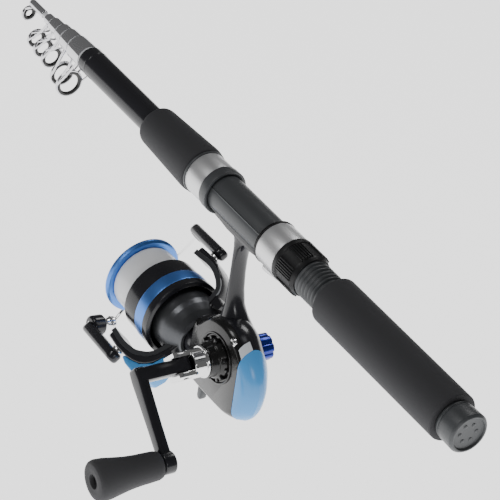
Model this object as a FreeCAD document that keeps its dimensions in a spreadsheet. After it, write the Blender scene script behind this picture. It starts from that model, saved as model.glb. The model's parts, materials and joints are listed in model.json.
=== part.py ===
import FreeCAD, Part
import math
import os
import re
import Sketcher

# Telescopic rod with a front-drag spinning reel hanging below it.
# Millimetres, +Z up, rod tip towards -X, butt towards +X, crank on the -Y side.
# The origin is on the rod's axis at the middle of the rear grip.

os.makedirs("parts", exist_ok=True)
doc = FreeCAD.newDocument("rod_and_reel")
sheet = doc.addObject("Spreadsheet::Sheet", "Sizes")

# ---- driving sizes -------------------------------------------------------
SIZES = {
    "grip_length": 110.0,        # rear grip
    "grip_radius": 14.5,
    "edge_round": 2.0,
    "cap_length": 15.0,          # screw cap on the butt
    "cap_radius": 12.0,
    "tube_radius": 8.35,         # butt tube
    "tube_wall": 0.7,
    "seat_radius": 11.4,         # reel seat tube
    "thread_radius": 11.3,
    "thread_pitch": 3.0,
    "thread_shown": 22.0,
    "nut_length": 19.5,
    "nut_radius": 13.8,
    "hood_length": 16.5,
    "hood_radius": 13.3,
    "hood_grip": 6.1,            # how far the hood reaches over the foot
    "lip_length": 2.4,
    "foot_length": 66.0,
    "foot_width": 11.0,
    "foot_thick": 2.4,
    "rim_length": 7.0,
    "rim_radius": 13.9,
    "ring_length": 16.4,
    "fore_length": 52.0,
    "fore_rear_radius": 14.6,
    "fore_front_radius": 12.4,
    "blank_shown": 78.8,
    "running_gap": 0.05,         # radial gap of turning and sliding fits
    "end_gap": 0.1,              # axial gap between pieces that turn on each other
    "reel_drop": 98.4,           # rod axis down to the spool axis
    "shaft_radius": 1.7,
    "journal_radius": 3.0,
    "arbor_radius": 13.0,
    "line_radius": 21.0,
    "skirt_radius": 24.5,
    "lip_radius": 24.9,
    "drum_radius": 20.0,
    "axle_offset": 12.4,         # crank axle above the spool axis
    "axle_back": 10.5,           # crank axle behind the foot's middle
    "axle_radius": 3.5,
    "crank_rod_radius": 2.5,
    "gear_radius": 20.6,
    "crank_reach": 50.7,         # elbow to knob axis
    "knob_length": 43.0,
    "yoke_tilt": 42.0,           # degrees, turn of the bail's pivot line about the shaft
    "bail_back": 61.0,           # bail pivot in front of the foot's middle
    "wire_radius": 0.9,
}

# Places along the rod that follow from the sizes above.
SIZES["grip_end"] = SIZES["grip_length"] / 2
SIZES["seat_end"] = -SIZES["grip_length"] / 2
SIZES["nut_rear"] = SIZES["seat_end"] - SIZES["thread_shown"]
SIZES["nut_front"] = SIZES["nut_rear"] - SIZES["nut_length"]
SIZES["hood_rear"] = SIZES["nut_front"] - SIZES["end_gap"]
SIZES["hood_front"] = SIZES["hood_rear"] - SIZES["hood_length"]
SIZES["lip_front"] = SIZES["hood_front"] - SIZES["lip_length"]
SIZES["foot_rear"] = SIZES["hood_front"] + SIZES["hood_grip"]
SIZES["foot_front"] = SIZES["foot_rear"] - SIZES["foot_length"]
SIZES["rim_rear"] = SIZES["foot_front"] + SIZES["rim_length"]
SIZES["ring_front"] = SIZES["foot_front"] - SIZES["ring_length"]
SIZES["fore_front"] = SIZES["ring_front"] - SIZES["fore_length"]
SIZES["blank_front"] = SIZES["fore_front"] - SIZES["blank_shown"]
SIZES["reel_x"] = (SIZES["foot_front"] + SIZES["foot_rear"]) / 2
SIZES["reel_z"] = -SIZES["reel_drop"]
SIZES["axle_x"] = SIZES["reel_x"] + SIZES["axle_back"]
SIZES["axle_z"] = SIZES["reel_z"] + SIZES["axle_offset"]
SIZES["track_z"] = -(SIZES["tube_radius"] + SIZES["seat_radius"]) / 2

for row, (name, value) in enumerate(SIZES.items(), start=1):
    sheet.set("A%d" % row, "%.6g" % value)
    sheet.setAlias("A%d" % row, name)
doc.recompute()

V = FreeCAD.Vector
X_AXIS = V(1, 0, 0)
Y_AXIS = V(0, 1, 0)
Z_AXIS = V(0, 0, 1)
ORIGIN = V(0, 0, 0)
parts = []


def size(name):
    """The value of one named size, read from the sheet."""
    return float(sheet.get(name))


def bound(words):
    """An expression on the sheet written with bare size names."""
    return re.sub(r"[a-z][a-z_0-9]+", lambda word: "Sizes." + word.group(0), words)


def rough(words):
    """A starting number for a sketch constraint, before its expression is solved."""
    total = 0.0
    for sign, word in re.findall(r"([+-]?)\s*([a-z_0-9.]+)", words):
        value = SIZES[word] if word in SIZES else float(word)
        total += -value if sign == "-" else value
    return total


def keep(shape_object, label):
    """Give a sub-part its own label and put it on the export list."""
    shape_object.Label = label
    parts.append(shape_object)
    return shape_object


def turned(label, points, at=("0", "0", "0"), direction=X_AXIS):
    """A body turned about its own X axis from (along, radius) pairs of size words."""
    body = doc.addObject("PartDesign::Body", label + "_body")
    sketch = body.newObject("Sketcher::SketchObject", label + "_profile")
    plane = [o for o in body.Origin.OriginFeatures if o.Role == "XY_Plane"][0]
    sketch.AttachmentSupport = [(plane, "")]
    sketch.MapMode = "FlatFace"
    starts = [(rough(along), rough(radius)) for along, radius in points]
    count = len(points)
    for i in range(count):
        a = starts[i]
        b = starts[(i + 1) % count]
        sketch.addGeometry(Part.LineSegment(V(a[0], a[1], 0), V(b[0], b[1], 0)), False)
    for i in range(count):
        sketch.addConstraint(Sketcher.Constraint("Coincident", i, 2, (i + 1) % count, 1))
    for i, (along, radius) in enumerate(points):
        for kind, words, start in (("DistanceX", along, starts[i][0]), ("DistanceY", radius, starts[i][1])):
            number = sketch.addConstraint(Sketcher.Constraint(kind, -1, 1, i, 1, start))
            sketch.setExpression("Constraints[%d]" % number, bound(words))
    spin = body.newObject("PartDesign::Revolution", label + "_turn")
    spin.Profile = sketch
    spin.ReferenceAxis = (sketch, ["H_Axis"])
    spin.Angle = 360
    body.Placement = FreeCAD.Placement(ORIGIN, FreeCAD.Rotation(X_AXIS, direction))
    for letter, words in zip("xyz", at):
        body.setExpression("Placement.Base." + letter, bound(words))
    return keep(body, label)


def tube(label, back, front, outer, inner, at=("0", "0", "0"), direction=X_AXIS):
    """A plain ring or tube between two places along its axis."""
    profile = [(back, inner), (front, inner), (front, outer), (back, outer)]
    return turned(label, profile, at, direction)


def formed(label, shape, placement=None):
    """A free-form sub-part whose shape was made from sizes in the sheet."""
    piece = doc.addObject("Part::Feature", label + "_form")
    piece.Shape = shape
    if placement is not None:
        piece.Placement = placement.multiply(piece.Placement)
    return keep(piece, label)


def rod(start, end, radius):
    """A round bar from one point to another."""
    line = end - start
    return Part.makeCylinder(radius, line.Length, start, line)


def revolved(points, start=ORIGIN, axis=X_AXIS):
    """A solid turned from (along, radius) numbers about the X direction."""
    wire = Part.makePolygon([V(x, r, 0) for x, r in points] + [V(points[0][0], points[0][1], 0)])
    solid = Part.Face(wire).revolve(ORIGIN, X_AXIS, 360)
    solid.Placement = FreeCAD.Placement(start, FreeCAD.Rotation(X_AXIS, axis))
    return solid


def prism(points, y_low, y_high):
    """A flat outline in (x, z) made thick along Y."""
    corners = [V(x, y_low, z) for x, z in points]
    return Part.Face(Part.makePolygon(corners + corners[:1])).extrude(V(0, y_high - y_low, 0))


def block(x_low, x_high, y_low, y_high, z_low, z_high):
    """A box from its limits."""
    return Part.makeBox(x_high - x_low, y_high - y_low, z_high - z_low, V(x_low, y_low, z_low))


# ---- rod -----------------------------------------------------------------
def make_rod():
    """Butt cap, grips, seat, hoods and the butt tube."""
    turned("butt_cap", [
        ("grip_end + end_gap", "tube_radius + running_gap"),
        ("grip_end + end_gap", "cap_radius - 1"),
        ("grip_end + 2.2", "cap_radius - 0.4"),
        ("grip_end + 2.8", "cap_radius - 1"),
        ("grip_end + 3.6", "cap_radius - 0.2"),
        ("grip_end + cap_length - 1.2", "cap_radius"),
        ("grip_end + cap_length", "cap_radius - 1.2"),
        ("grip_end + cap_length", "cap_radius - 2.2"),
        ("grip_end + cap_length - 1.4", "cap_radius - 2.6"),
        ("grip_end + cap_length - 1.4", "0"),
        ("grip_end + 4", "0"),
        ("grip_end + 4", "tube_radius + running_gap")])
    turned("rear_grip", [
        ("seat_end", "tube_radius"),
        ("seat_end", "grip_radius - edge_round"),
        ("seat_end + 0.6", "grip_radius - 0.6"),
        ("seat_end + edge_round", "grip_radius"),
        ("grip_end - edge_round", "grip_radius"),
        ("grip_end - 0.6", "grip_radius - 0.6"),
        ("grip_end", "grip_radius - edge_round"),
        ("grip_end", "tube_radius")])
    seat = revolved(seat_profile())
    half = size("foot_width") / 2 + 0.1
    seat = seat.cut(block(size("foot_front"), size("nut_front"), -half - 3, half + 3,
                          -20, size("track_z")))
    formed("reel_seat", seat)
    pocket = block(size("foot_front"), size("rim_rear"), -half, half,
                   size("track_z") - size("foot_thick") - 0.1, size("track_z") + 0.1)
    rim = revolved([
        (size("foot_front"), size("seat_radius")), (size("foot_front"), size("rim_radius") - 1),
        (size("foot_front") + 1.2, size("rim_radius")), (size("rim_rear") - 1.2, size("rim_radius")),
        (size("rim_rear"), size("rim_radius") - 1.2), (size("rim_rear"), size("seat_radius"))])
    formed("fixed_hood_rim", rim.cut(pocket))
    tube("fixed_hood_ring", "ring_front", "foot_front", "hood_radius", "seat_radius")
    bore = size("seat_radius") + size("running_gap")
    hood = revolved([
        (size("hood_front"), bore), (size("hood_front"), size("hood_radius")),
        (size("hood_rear"), size("hood_radius")), (size("hood_rear"), bore)])
    bulge = prism([(size("hood_front"), -bore - 0.4), (size("hood_front"), -15.2),
                   (size("hood_front") + 4, -15.2), (size("hood_rear") - 1, -13.0),
                   (size("hood_rear") - 1, -bore - 0.4)], -half - 1.2, half + 1.2)
    grip_pocket = block(size("lip_front"), size("foot_rear") + 0.2, -half, half,
                        size("track_z") - size("foot_thick") - 0.7, size("track_z") + 0.2)
    formed("sliding_hood", hood.fuse(bulge).removeSplitter().cut(grip_pocket))
    lip = revolved([
        (size("lip_front"), bore), (size("lip_front"), size("hood_radius") - 0.4),
        (size("lip_front") + 0.8, size("hood_radius") + 0.3), (size("hood_front"), size("hood_radius") + 0.3),
        (size("hood_front"), bore)])
    lip_pocket = block(size("lip_front") - 1, size("hood_front"), -half, half, -20, size("track_z") + 0.2)
    formed("hood_lip", lip.cut(lip_pocket))
    formed("lock_nut", nut_shape(bore))
    turned("fore_grip", [
        ("fore_front", "tube_radius"),
        ("fore_front", "fore_front_radius - 1.6"),
        ("fore_front + 0.8", "fore_front_radius - 0.4"),
        ("fore_front + 2.4", "fore_front_radius"),
        ("ring_front - 3", "fore_rear_radius"),
        ("ring_front - 0.8", "fore_rear_radius - 0.3"),
        ("ring_front", "fore_rear_radius - 1.1"),
        ("ring_front", "tube_radius")])
    tube("butt_tube", "blank_front", "grip_end + 3.8", "tube_radius", "tube_radius - tube_wall")


def seat_profile():
    """Outline of the seat tube with its thread drawn as rings."""
    inner = size("tube_radius")
    outline = [(size("ring_front"), inner), (size("ring_front"), size("seat_radius")),
               (size("nut_front") + 1, size("seat_radius"))]
    pitch = size("thread_pitch")
    x = size("nut_front") + 1.2
    while x + pitch < size("seat_end"):
        outline.append((x, size("thread_radius") - 0.8))
        outline.append((x + 0.25 * pitch, size("thread_radius")))
        outline.append((x + 0.6 * pitch, size("thread_radius")))
        outline.append((x + 0.85 * pitch, size("thread_radius") - 0.8))
        x += pitch
    outline.append((size("seat_end"), size("thread_radius") - 0.8))
    outline.append((size("seat_end"), inner))
    return outline


def nut_shape(bore):
    """Round lock nut with ribs in groups and plain faces between them."""
    front = size("nut_front")
    rear = size("nut_rear")
    radius = size("nut_radius")
    nut = revolved([(front, bore), (front, radius - 0.5), (front + 0.6, radius), (front + 3.5, radius),
                    (front + 4, radius - 0.7), (rear - 2.4, radius - 0.7), (rear, radius - 1.7),
                    (rear, bore)])
    ribs = []
    for group in range(6):
        for step in range(5):
            angle = 60 * group + 7 * step
            rib = block(front + 3.8, rear - 2.6, -0.4, 0.4, radius - 1.2, radius)
            rib.rotate(ORIGIN, X_AXIS, angle)
            ribs.append(rib)
    return nut.fuse(ribs).removeSplitter()


# Front ends, tube radii and guide sizes of the six inner sections, thickest first.
SECTIONS = [
    # ahead of the blank, tube radius, collar radius, ring centre ahead, ring depth, ring radius
    (15.3, 7.3, 7.8, 18.8, 27.3, 8.1),
    (25.8, 6.3, 6.8, 27.8, 25.5, 7.3),
    (33.8, 5.3, 5.8, 41.8, 22.0, 6.4),
    (43.8, 4.1, 4.6, 52.8, 21.5, 5.8),
    (51.3, 3.0, 3.4, 61.3, 19.7, 5.5),
    (66.8, 1.9, 2.5, 73.8, 8.6, 4.1)]


def make_sections():
    """The six telescoping tubes with a guide on the front of each."""
    wall = size("tube_wall")
    last_end = 0.0
    for number, (ahead, radius, collar, ring_ahead, depth, ring) in enumerate(SECTIONS, start=1):
        front = size("blank_front") - ahead
        rear = size("grip_end") - 7 - 0.5 * number
        tip = number == len(SECTIONS)
        inner = 0.0 if tip else radius - wall
        tube_end = front + (6.0 if tip else 0.0)
        length = rear - tube_end
        body = doc.addObject("Part::Cylinder", "section_%d_outer" % number)
        body.Radius = radius
        body.Height = length
        if tip:
            shape_object = body
        else:
            hole = doc.addObject("Part::Cylinder", "section_%d_bore" % number)
            hole.setExpression("Radius", "section_%d_outer.Radius - Sizes.tube_wall * 1 mm" % number)
            hole.Height = length
            shape_object = doc.addObject("Part::Cut", "section_%d_cut" % number)
            shape_object.Base = body
            shape_object.Tool = hole
        shape_object.Placement = FreeCAD.Placement(V(tube_end, 0, 0), FreeCAD.Rotation(Z_AXIS, X_AXIS))
        keep(shape_object, "section_%d" % number)
        collar_rear = size("blank_front") - (last_end + 1.6)
        centre = V(size("blank_front") - ring_ahead, 0, -depth)
        formed("guide_frame_%d" % number,
               guide_frame(front, collar_rear, radius, collar, centre, ring, tip))
        if not tip:
            turned("guide_ring_%d" % number, ring_profile(ring),
                   ("%.6g" % centre.x, "0", "%.6g" % centre.z))
        last_end = ahead


def ring_profile(ring):
    """Rounded section of a guide's hard lining, about the line's path."""
    pairs = [(-1.1, ring - 1.2), (-1.1, ring - 0.2), (-0.4, ring), (0.4, ring), (1.1, ring - 0.2),
             (1.1, ring - 1.2), (0.5, ring - 2.0), (-0.5, ring - 2.0)]
    return [("%.6g" % x, "%.6g" % r) for x, r in pairs]


def guide_frame(front, rear, bore, collar, centre, ring, tip):
    """Collar on the section, two legs leaning forward and the hoop round the lining."""
    hoop = revolved([(-0.8, ring - 0.15), (-0.8, ring + 0.9), (0.8, ring + 0.9), (0.8, ring - 0.15)], centre)
    seat = revolved([(-1.2, 0), (-1.2, ring - 0.19), (-0.4, ring), (0.4, ring), (1.2, ring - 0.19), (1.2, 0)],
                    centre)
    start = front + 0.3
    sleeve = revolved([(start, 0), (start, collar), (rear, collar), (rear, 0)])
    if tip:
        sleeve = revolved([(front - 5.5, 0), (front - 5.5, collar - 0.6), (front - 4, collar),
                           (front + 11, collar), (front + 11, 0)])
        start = front - 4
    legs = []
    for side in (-1, 1):
        root = V(start + 2.0, side * collar * 0.55, -collar * 0.6)
        foot = centre + V(0.3, side * (ring + 0.4) * 0.64, (ring + 0.4) * 0.77)
        legs.append(rod(root, foot, 0.8))
        if not tip:
            low = centre + V(0.3, side * (ring + 0.4), 0)
            legs.append(rod(V(rear - 1.2, side * collar * 0.8, -collar * 0.3), low, 0.7))
    frame = sleeve.fuse([hoop] + legs)
    frame = frame.cut(seat)
    if tip:
        lining = revolved([(-1.1, ring - 2.0), (-1.1, ring), (1.1, ring), (1.1, ring - 2.0)], centre)
        frame = frame.fuse(lining)
    bore_low = front + (6.0 if tip else -1.0)
    return frame.cut(revolved([(bore_low, 0), (bore_low, bore), (rear + 20, bore), (rear + 20, 0)]))


# ---- reel ----------------------------------------------------------------
REEL = ("reel_x", "0", "reel_z")

# Side outline of the gear case, behind the foot's middle and above the spool axis.
CASE = [(-20, 18.4), (-15, 22.9), (-10, 27.9), (-4, 32.9), (3, 36.4), (11, 37.4), (19, 36.4), (26, 33.4),
        (32, 28.9), (38, 23.4), (43, 15.9), (45.5, 6.4), (44.5, -1.6), (42, -9.6), (37, -16.1), (29, -18.4),
        (19, -19.2), (7, -19.4), (-5, -19.2), (-15, -18.6), (-20, -18.4)]
# Across the case: place, size of the outline there and how far its rear reaches.
CASE_WIDTHS = [(-13.0, 0.86, 0.88), (-11.0, 0.93, 0.92), (-8.5, 0.985, 0.96), (-4.0, 1.0, 1.0), (0.0, 0.98, 0.96),
               (3.0, 0.93, 0.91), (6.0, 0.83, 0.87), (8.5, 0.68, 0.85), (10.4, 0.50, 0.85)]
CASE_MIDDLE = (10.5, 8.4)


def reel_point(x, y, z):
    """A point given from the middle of the foot and the spool axis."""
    return V(size("reel_x") + x, y, size("reel_z") + z)


def case_solid(inset, widths):
    """The case's rounded outside, or its hollow when inset is above nought."""
    wires = []
    for y, scale, rear in widths:
        points = []
        for x, z in CASE:
            across = x - CASE_MIDDLE[0]
            across *= rear if across > 0 else 1.0
            up = z - CASE_MIDDLE[1]
            reach = math.hypot(across, up)
            part = scale * (1 - inset / reach)
            points.append(reel_point(CASE_MIDDLE[0] + across * part, y, CASE_MIDDLE[1] + up * part))
        wires.append(Part.makePolygon(points + points[:1]))
    return Part.makeLoft(wires, True, True)


def region(points, y_low, y_high):
    """A thick outline given from the foot's middle and the spool axis."""
    return prism([(size("reel_x") + x, size("reel_z") + z) for x, z in points], y_low, y_high)


def make_case():
    """Gear case with stem and foot, its covers, trim and screw."""
    whole = case_solid(0.0, CASE_WIDTHS)
    hollow = case_solid(2.2, [(-10.6, 0.93, 0.92), (-8.5, 0.975, 0.95), (-4.0, 1.0, 1.0), (0.0, 0.98, 0.96),
                              (3.0, 0.91, 0.91), (6.0, 0.79, 0.87), (7.8, 0.70, 0.85)])
    behind = region([(30.4, 40), (60, 40), (60, -30), (34.2, -30)], -20, 20)
    near = block(size("reel_x") - 60, size("reel_x") + 70, -20, -9, size("reel_z") - 60, size("reel_z") + 60)
    strip = region([(26.4, 40), (30.4, 40), (32, 10), (28, 10)], -9, -3)
    axle = V(size("axle_x"), 0, size("axle_z"))
    rear = whole.common(behind).cut(hollow)
    formed("rear_cover", rear)
    formed("trim_strip", whole.common(strip).cut(hollow))
    cover = whole.common(near).cut(behind).cut(hollow)
    boss = revolved([(9, 0), (9, 15.4), (14.2, 15.4), (14.6, 14.6), (14.6, 12.6), (22.0, 10.0), (22.0, 0)],
                    axle, -Y_AXIS)
    cover = cover.fuse(boss.cut(hollow).cut(behind)).removeSplitter()
    bearing_hole = revolved([(0, 0), (0, 7.0), (13.5, 7.0), (13.5, size("axle_radius") + 0.3),
                             (30, size("axle_radius") + 0.3), (30, 0)], axle, -Y_AXIS)
    screw_spot = reel_point(22.3, 0, 31.0)
    screw_hole = revolved([(5, 0), (5, 1.2), (11.5, 1.2), (11.5, 2.4), (20, 2.4), (20, 0)], screw_spot, -Y_AXIS)
    low_hole = revolved([(11.5, 0), (11.5, 1.6), (20, 1.6), (20, 0)], reel_point(31.0, 0, -1.4), -Y_AXIS)
    formed("side_cover", cover.cut(bearing_hole).cut(screw_hole).cut(low_hole))
    formed("cover_screw", revolved([(5.2, 0), (5.2, 1.15), (11.5, 1.15), (11.5, 2.3), (13.2, 2.3),
                                    (13.6, 1.8), (13.6, 0)], screw_spot, -Y_AXIS))
    body = whole.cut(behind).cut(near).cut(strip).cut(hollow)
    neck = revolved([(-30, 0), (-30, 14.5), (-20, 14.5), (-4, 11.0), (-4, 0)], reel_point(0, 0, 0))
    neck = neck.cut(near).cut(hollow)
    body = body.fuse([neck, stem_solid().cut(hollow), foot_solid()])
    body = body.fuse(rod(axle + V(0, 7.9, 0), axle + V(0, 11.8, 0), 9.5))
    stud = rod(reel_point(size("axle_back"), 5.0, 0), reel_point(size("axle_back"), 9.0, 0), 2.0)
    body = body.fuse(stud)
    for x in (-18.4, -10.6):
        body = body.fuse(region([(x, -17), (x + 1.8, -17), (x + 1.8, -25), (x, -25)], -2.6, 2.6))
    body = body.cut(revolved([(5, 0), (5, 2.6), (12, 2.6), (12, 0)], V(0, -50, 0), Y_AXIS))
    body = body.cut(revolved([(-31, 0), (-31, 5.0), (-27, 5.0), (-27, 9.0), (-14, 9.0), (-14, 0)],
                             reel_point(0, 0, 0)))
    body = body.cut(revolved([(7.8, 0), (7.8, 7.0), (10.6, 7.0), (10.6, size("axle_radius") + 0.3),
                              (30, size("axle_radius") + 0.3), (30, 0)], axle, Y_AXIS))
    body = body.cut(revolved([(5.1, 0), (5.1, 1.2), (9.5, 1.2), (9.5, 0)], screw_spot, -Y_AXIS))
    body = body.fuse(rod(reel_point(-18.6, 0, -23), reel_point(-8.6, 0, -23), 1.25))
    formed("gear_case", body.removeSplitter())
    lever = revolved([(-16.3, 1.3), (-16.3, 2.6), (-10.9, 2.6), (-10.9, 1.3)], reel_point(0, 0, -23))
    blade = region([(-15.8, -24.6), (-11.4, -24.6), (-11.4, -35), (-12.4, -37), (-14.8, -37), (-15.8, -35)],
                   -2.2, 2.2)
    lever = lever.fuse(blade).removeSplitter()
    formed("anti_reverse_lever", lever)


def stem_solid():
    """Slim curved stem from the foot down to the case."""
    wires = []
    for z, x, deep, wide in ((-12.5, -1.0, 10.0, 5.3), (-17, -1.8, 5.4, 5.2), (-22, -2.0, 3.2, 5.0),
                             (-37, -1.5, 3.0, 5.0), (-50, -0.5, 4.0, 5.3), (-60, 1.0, 5.6, 6.2),
                             (-68, 3.0, 8.0, 7.5)):
        centre = V(size("reel_x") + x, 0, z)
        if deep >= wide:
            curve = Part.Ellipse(centre + V(deep, 0, 0), centre + V(0, wide, 0), centre)
            curve = Part.ArcOfEllipse(curve, math.pi / 2, math.pi * 2.5)
        else:
            curve = Part.Ellipse(centre + V(0, wide, 0), centre + V(-deep, 0, 0), centre)
            curve = Part.ArcOfEllipse(curve, 0, math.pi * 2)
        wires.append(Part.Wire(curve.toShape()))
    stem = Part.makeLoft(wires, True, False)
    axle = V(size("axle_x"), 0, size("axle_z"))
    return stem.cut(rod(axle + V(0, -8.9, 0), axle + V(0, -2, 0), size("gear_radius") + 0.8))


def foot_solid():
    """Flat foot that the two hoods hold against the seat."""
    top = size("track_z")
    thin = top - size("foot_thick")
    front = size("foot_front")
    rear = size("foot_rear")
    middle = size("reel_x")
    return prism([(front, top), (rear, top), (rear, thin + 0.2), (rear - 13, thin - 0.7), (middle + 12, -14),
                  (middle - 12, -14), (front + 13, thin - 0.7), (front + 7, thin), (front, thin)],
                 -size("foot_width") / 2, size("foot_width") / 2)


def gear_teeth(count, root, tip, half_root, half_tip, low, high, turn):
    """Straight teeth round the Y axis, from y = low to y = high."""
    teeth = []
    for i in range(count):
        tooth = prism([(-half_root, root - 0.4), (half_root, root - 0.4), (half_tip, tip), (-half_tip, tip)],
                      low, high)
        tooth.rotate(ORIGIN, Y_AXIS, turn + 360.0 * i / count)
        teeth.append(tooth)
    return teeth


def make_drive():
    """Gears, shafts and bearings inside the case."""
    axle = V(size("axle_x"), 0, size("axle_z"))
    gear = revolved([(-21.6, size("crank_rod_radius")), (-21.6, size("axle_radius")), (-8.0, size("axle_radius")),
                     (-8.0, size("gear_radius")), (-2.8, size("gear_radius")), (-2.8, 19.0), (-4.6, 18.8),
                     (-4.6, size("axle_radius")), (11.0, size("axle_radius")), (11.0, size("crank_rod_radius"))],
                    ORIGIN, Y_AXIS)
    slots = []
    for i in range(41):
        slot = block(-26, -8, -4.6, -2.0, -size("axle_offset") - 0.95, -size("axle_offset") + 0.95)
        slot.rotate(ORIGIN, Y_AXIS, 360.0 * i / 41)
        slots.append(slot)
    ring = revolved([(-4.6, 18.7), (-4.6, 23), (-2.0, 23), (-2.0, 18.7)], ORIGIN, Y_AXIS)
    gear = gear.cut(slots[0].fuse(slots[1:]).common(ring))
    hub = gear_teeth(12, 3.5, 4.7, 0.6, 0.3, 4.6, 7.6, 180)
    gear = gear.fuse(hub).removeSplitter()
    formed("drive_gear", gear, FreeCAD.Placement(axle, FreeCAD.Rotation()))
    small = revolved([(4.6, 2.05), (4.6, 7.5), (7.6, 7.5), (7.6, 2.05)], ORIGIN, Y_AXIS)
    small = small.fuse(gear_teeth(24, 7.5, 8.8, 0.6, 0.3, 4.6, 7.6, 7.5))
    small = small.fuse(rod(V(-1, 4.2, -5.9), V(-1, 4.7, -5.9), 1.4)).removeSplitter()
    formed("oscillation_gear", small,
           FreeCAD.Placement(reel_point(size("axle_back"), 0, 0), FreeCAD.Rotation()))
    pinion = revolved([(-42, size("shaft_radius") + 0.05), (-42, size("journal_radius")),
                       (-13, size("journal_radius")), (-13, 2.7), (-0.5, 2.7),
                       (-0.5, size("shaft_radius") + 0.05)])
    teeth = []
    for i in range(8):
        corners = [(-0.5, 2.4), (0.5, 2.4), (0.28, 3.7), (-0.28, 3.7)]
        wire = Part.makePolygon([V(-13, a, b) for a, b in corners + corners[:1]])
        tooth = Part.Face(wire).extrude(V(12.5, 0, 0))
        tooth.rotate(ORIGIN, X_AXIS, 45.0 * i)
        teeth.append(tooth)
    formed("pinion", pinion.fuse(teeth).removeSplitter(), FreeCAD.Placement(reel_point(0, 0, 0), FreeCAD.Rotation()))
    tube("main_shaft", "0 - 97", "15", "shaft_radius", "0", REEL)
    slider = block(5.5, 13.5, 0, 3.9, -8, 8)
    slider = slider.cut(rod(V(0, 0, 0), V(20, 0, 0), size("shaft_radius")))
    slider = slider.cut(block(7.8, 11.2, 3.0, 5, -7.2, 7.2))
    formed("slider", slider, FreeCAD.Placement(reel_point(0, 0, 0), FreeCAD.Rotation()))
    tube("pinion_bearing", "0 - 27", "0 - 22", "9", "journal_radius + running_gap", REEL)
    tube("one_way_clutch", "0 - 21", "0 - 15", "9", "journal_radius + running_gap", REEL)
    tube("axle_bearing_near", "0 - 13.5", "0 - 10.5", "7", "axle_radius + running_gap",
         ("axle_x", "0", "axle_z"), Y_AXIS)
    tube("axle_bearing_far", "8", "10.6", "7", "axle_radius + running_gap",
         ("axle_x", "0", "axle_z"), Y_AXIS)


def make_spool():
    """Spool with its line, drag washers and drag knob."""
    turned("spool", [
        ("0 - 90", "arbor_radius"), ("0 - 90", "arbor_radius - 2"), ("0 - 84", "arbor_radius - 2"),
        ("0 - 84", "shaft_radius + running_gap"), ("0 - 66", "shaft_radius + running_gap"), ("0 - 66", "5"),
        ("0 - 80", "5"), ("0 - 80", "arbor_radius - 2"), ("0 - 69.5", "arbor_radius - 2"),
        ("0 - 68", "arbor_radius - 0.5"), ("0 - 68", "skirt_radius - 2"), ("0 - 43.5", "skirt_radius - 2"),
        ("0 - 43.5", "skirt_radius + 0.4"), ("0 - 44.3", "skirt_radius + 0.8"), ("0 - 49", "skirt_radius + 0.8"),
        ("0 - 49", "skirt_radius - 0.8"), ("0 - 58", "skirt_radius - 0.8"), ("0 - 58", "skirt_radius"),
        ("0 - 70", "skirt_radius"), ("0 - 71", "skirt_radius - 0.8"), ("0 - 71", "arbor_radius")], REEL)
    turned("spool_lip", [
        ("0 - 93", "arbor_radius - 2"), ("0 - 93", "lip_radius - 1.4"), ("0 - 91.9", "lip_radius"),
        ("0 - 90.8", "lip_radius"), ("0 - 90", "lip_radius - 1.4"), ("0 - 90", "arbor_radius - 2")], REEL)
    band = revolved([(-58, size("skirt_radius") - 0.8), (-58, size("skirt_radius") + 0.5),
                     (-49, size("skirt_radius") + 0.5), (-49, size("skirt_radius") - 0.8)])
    windows = []
    for pair in range(6):
        for side in (-1, 1):
            window = block(-56.5, -51, -1.7, 1.7, size("skirt_radius") - 2, size("skirt_radius") + 2)
            window.rotate(ORIGIN, X_AXIS, 60 * pair + 15 + side * 6)
            windows.append(window)
    formed("spool_band", band.cut(windows), FreeCAD.Placement(reel_point(0, 0, 0), FreeCAD.Rotation()))
    tube("line_winding", "0 - 90", "0 - 71", "line_radius", "arbor_radius", REEL)
    turned("drag_washers", [
        ("0 - 88", "shaft_radius"), ("0 - 88", "10"), ("0 - 87", "10"), ("0 - 87", "9"), ("0 - 86.6", "9"),
        ("0 - 86.6", "10"), ("0 - 85.6", "10"), ("0 - 85.6", "9"), ("0 - 85.2", "9"), ("0 - 85.2", "10"),
        ("0 - 84.1", "10"), ("0 - 84.1", "shaft_radius")], REEL)
    knob = revolved([(-101, 0), (-101, 9), (-99.5, 12), (-94.5, 13), (-93.6, 12.4), (-93.6, 8.5), (-88.2, 8.5),
                     (-88.2, size("shaft_radius") + 0.05), (-98, size("shaft_radius") + 0.05), (-98, 0)])
    flutes = [rod(V(-103, 13.6, 0), V(-95, 14.6, 0), 2.2)]
    for i in range(1, 8):
        flute = flutes[0].copy()
        flute.rotate(ORIGIN, X_AXIS, 45 * i)
        flutes.append(flute)
    formed("drag_knob", knob.cut(flutes), FreeCAD.Placement(reel_point(0, 0, 0), FreeCAD.Rotation()))


def yoke_place():
    """Where the rotor's own frame sits: its Y runs along the bail's pivot line."""
    return FreeCAD.Placement(reel_point(0, 0, 0), FreeCAD.Rotation(X_AXIS, size("yoke_tilt")))


def slab(points, low, high):
    """An outline in the rotor's own X-Y plane, thick along its Z."""
    corners = [V(x, y, low) for x, y in points]
    return Part.Face(Part.makePolygon(corners + corners[:1])).extrude(V(0, 0, high - low))


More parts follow.
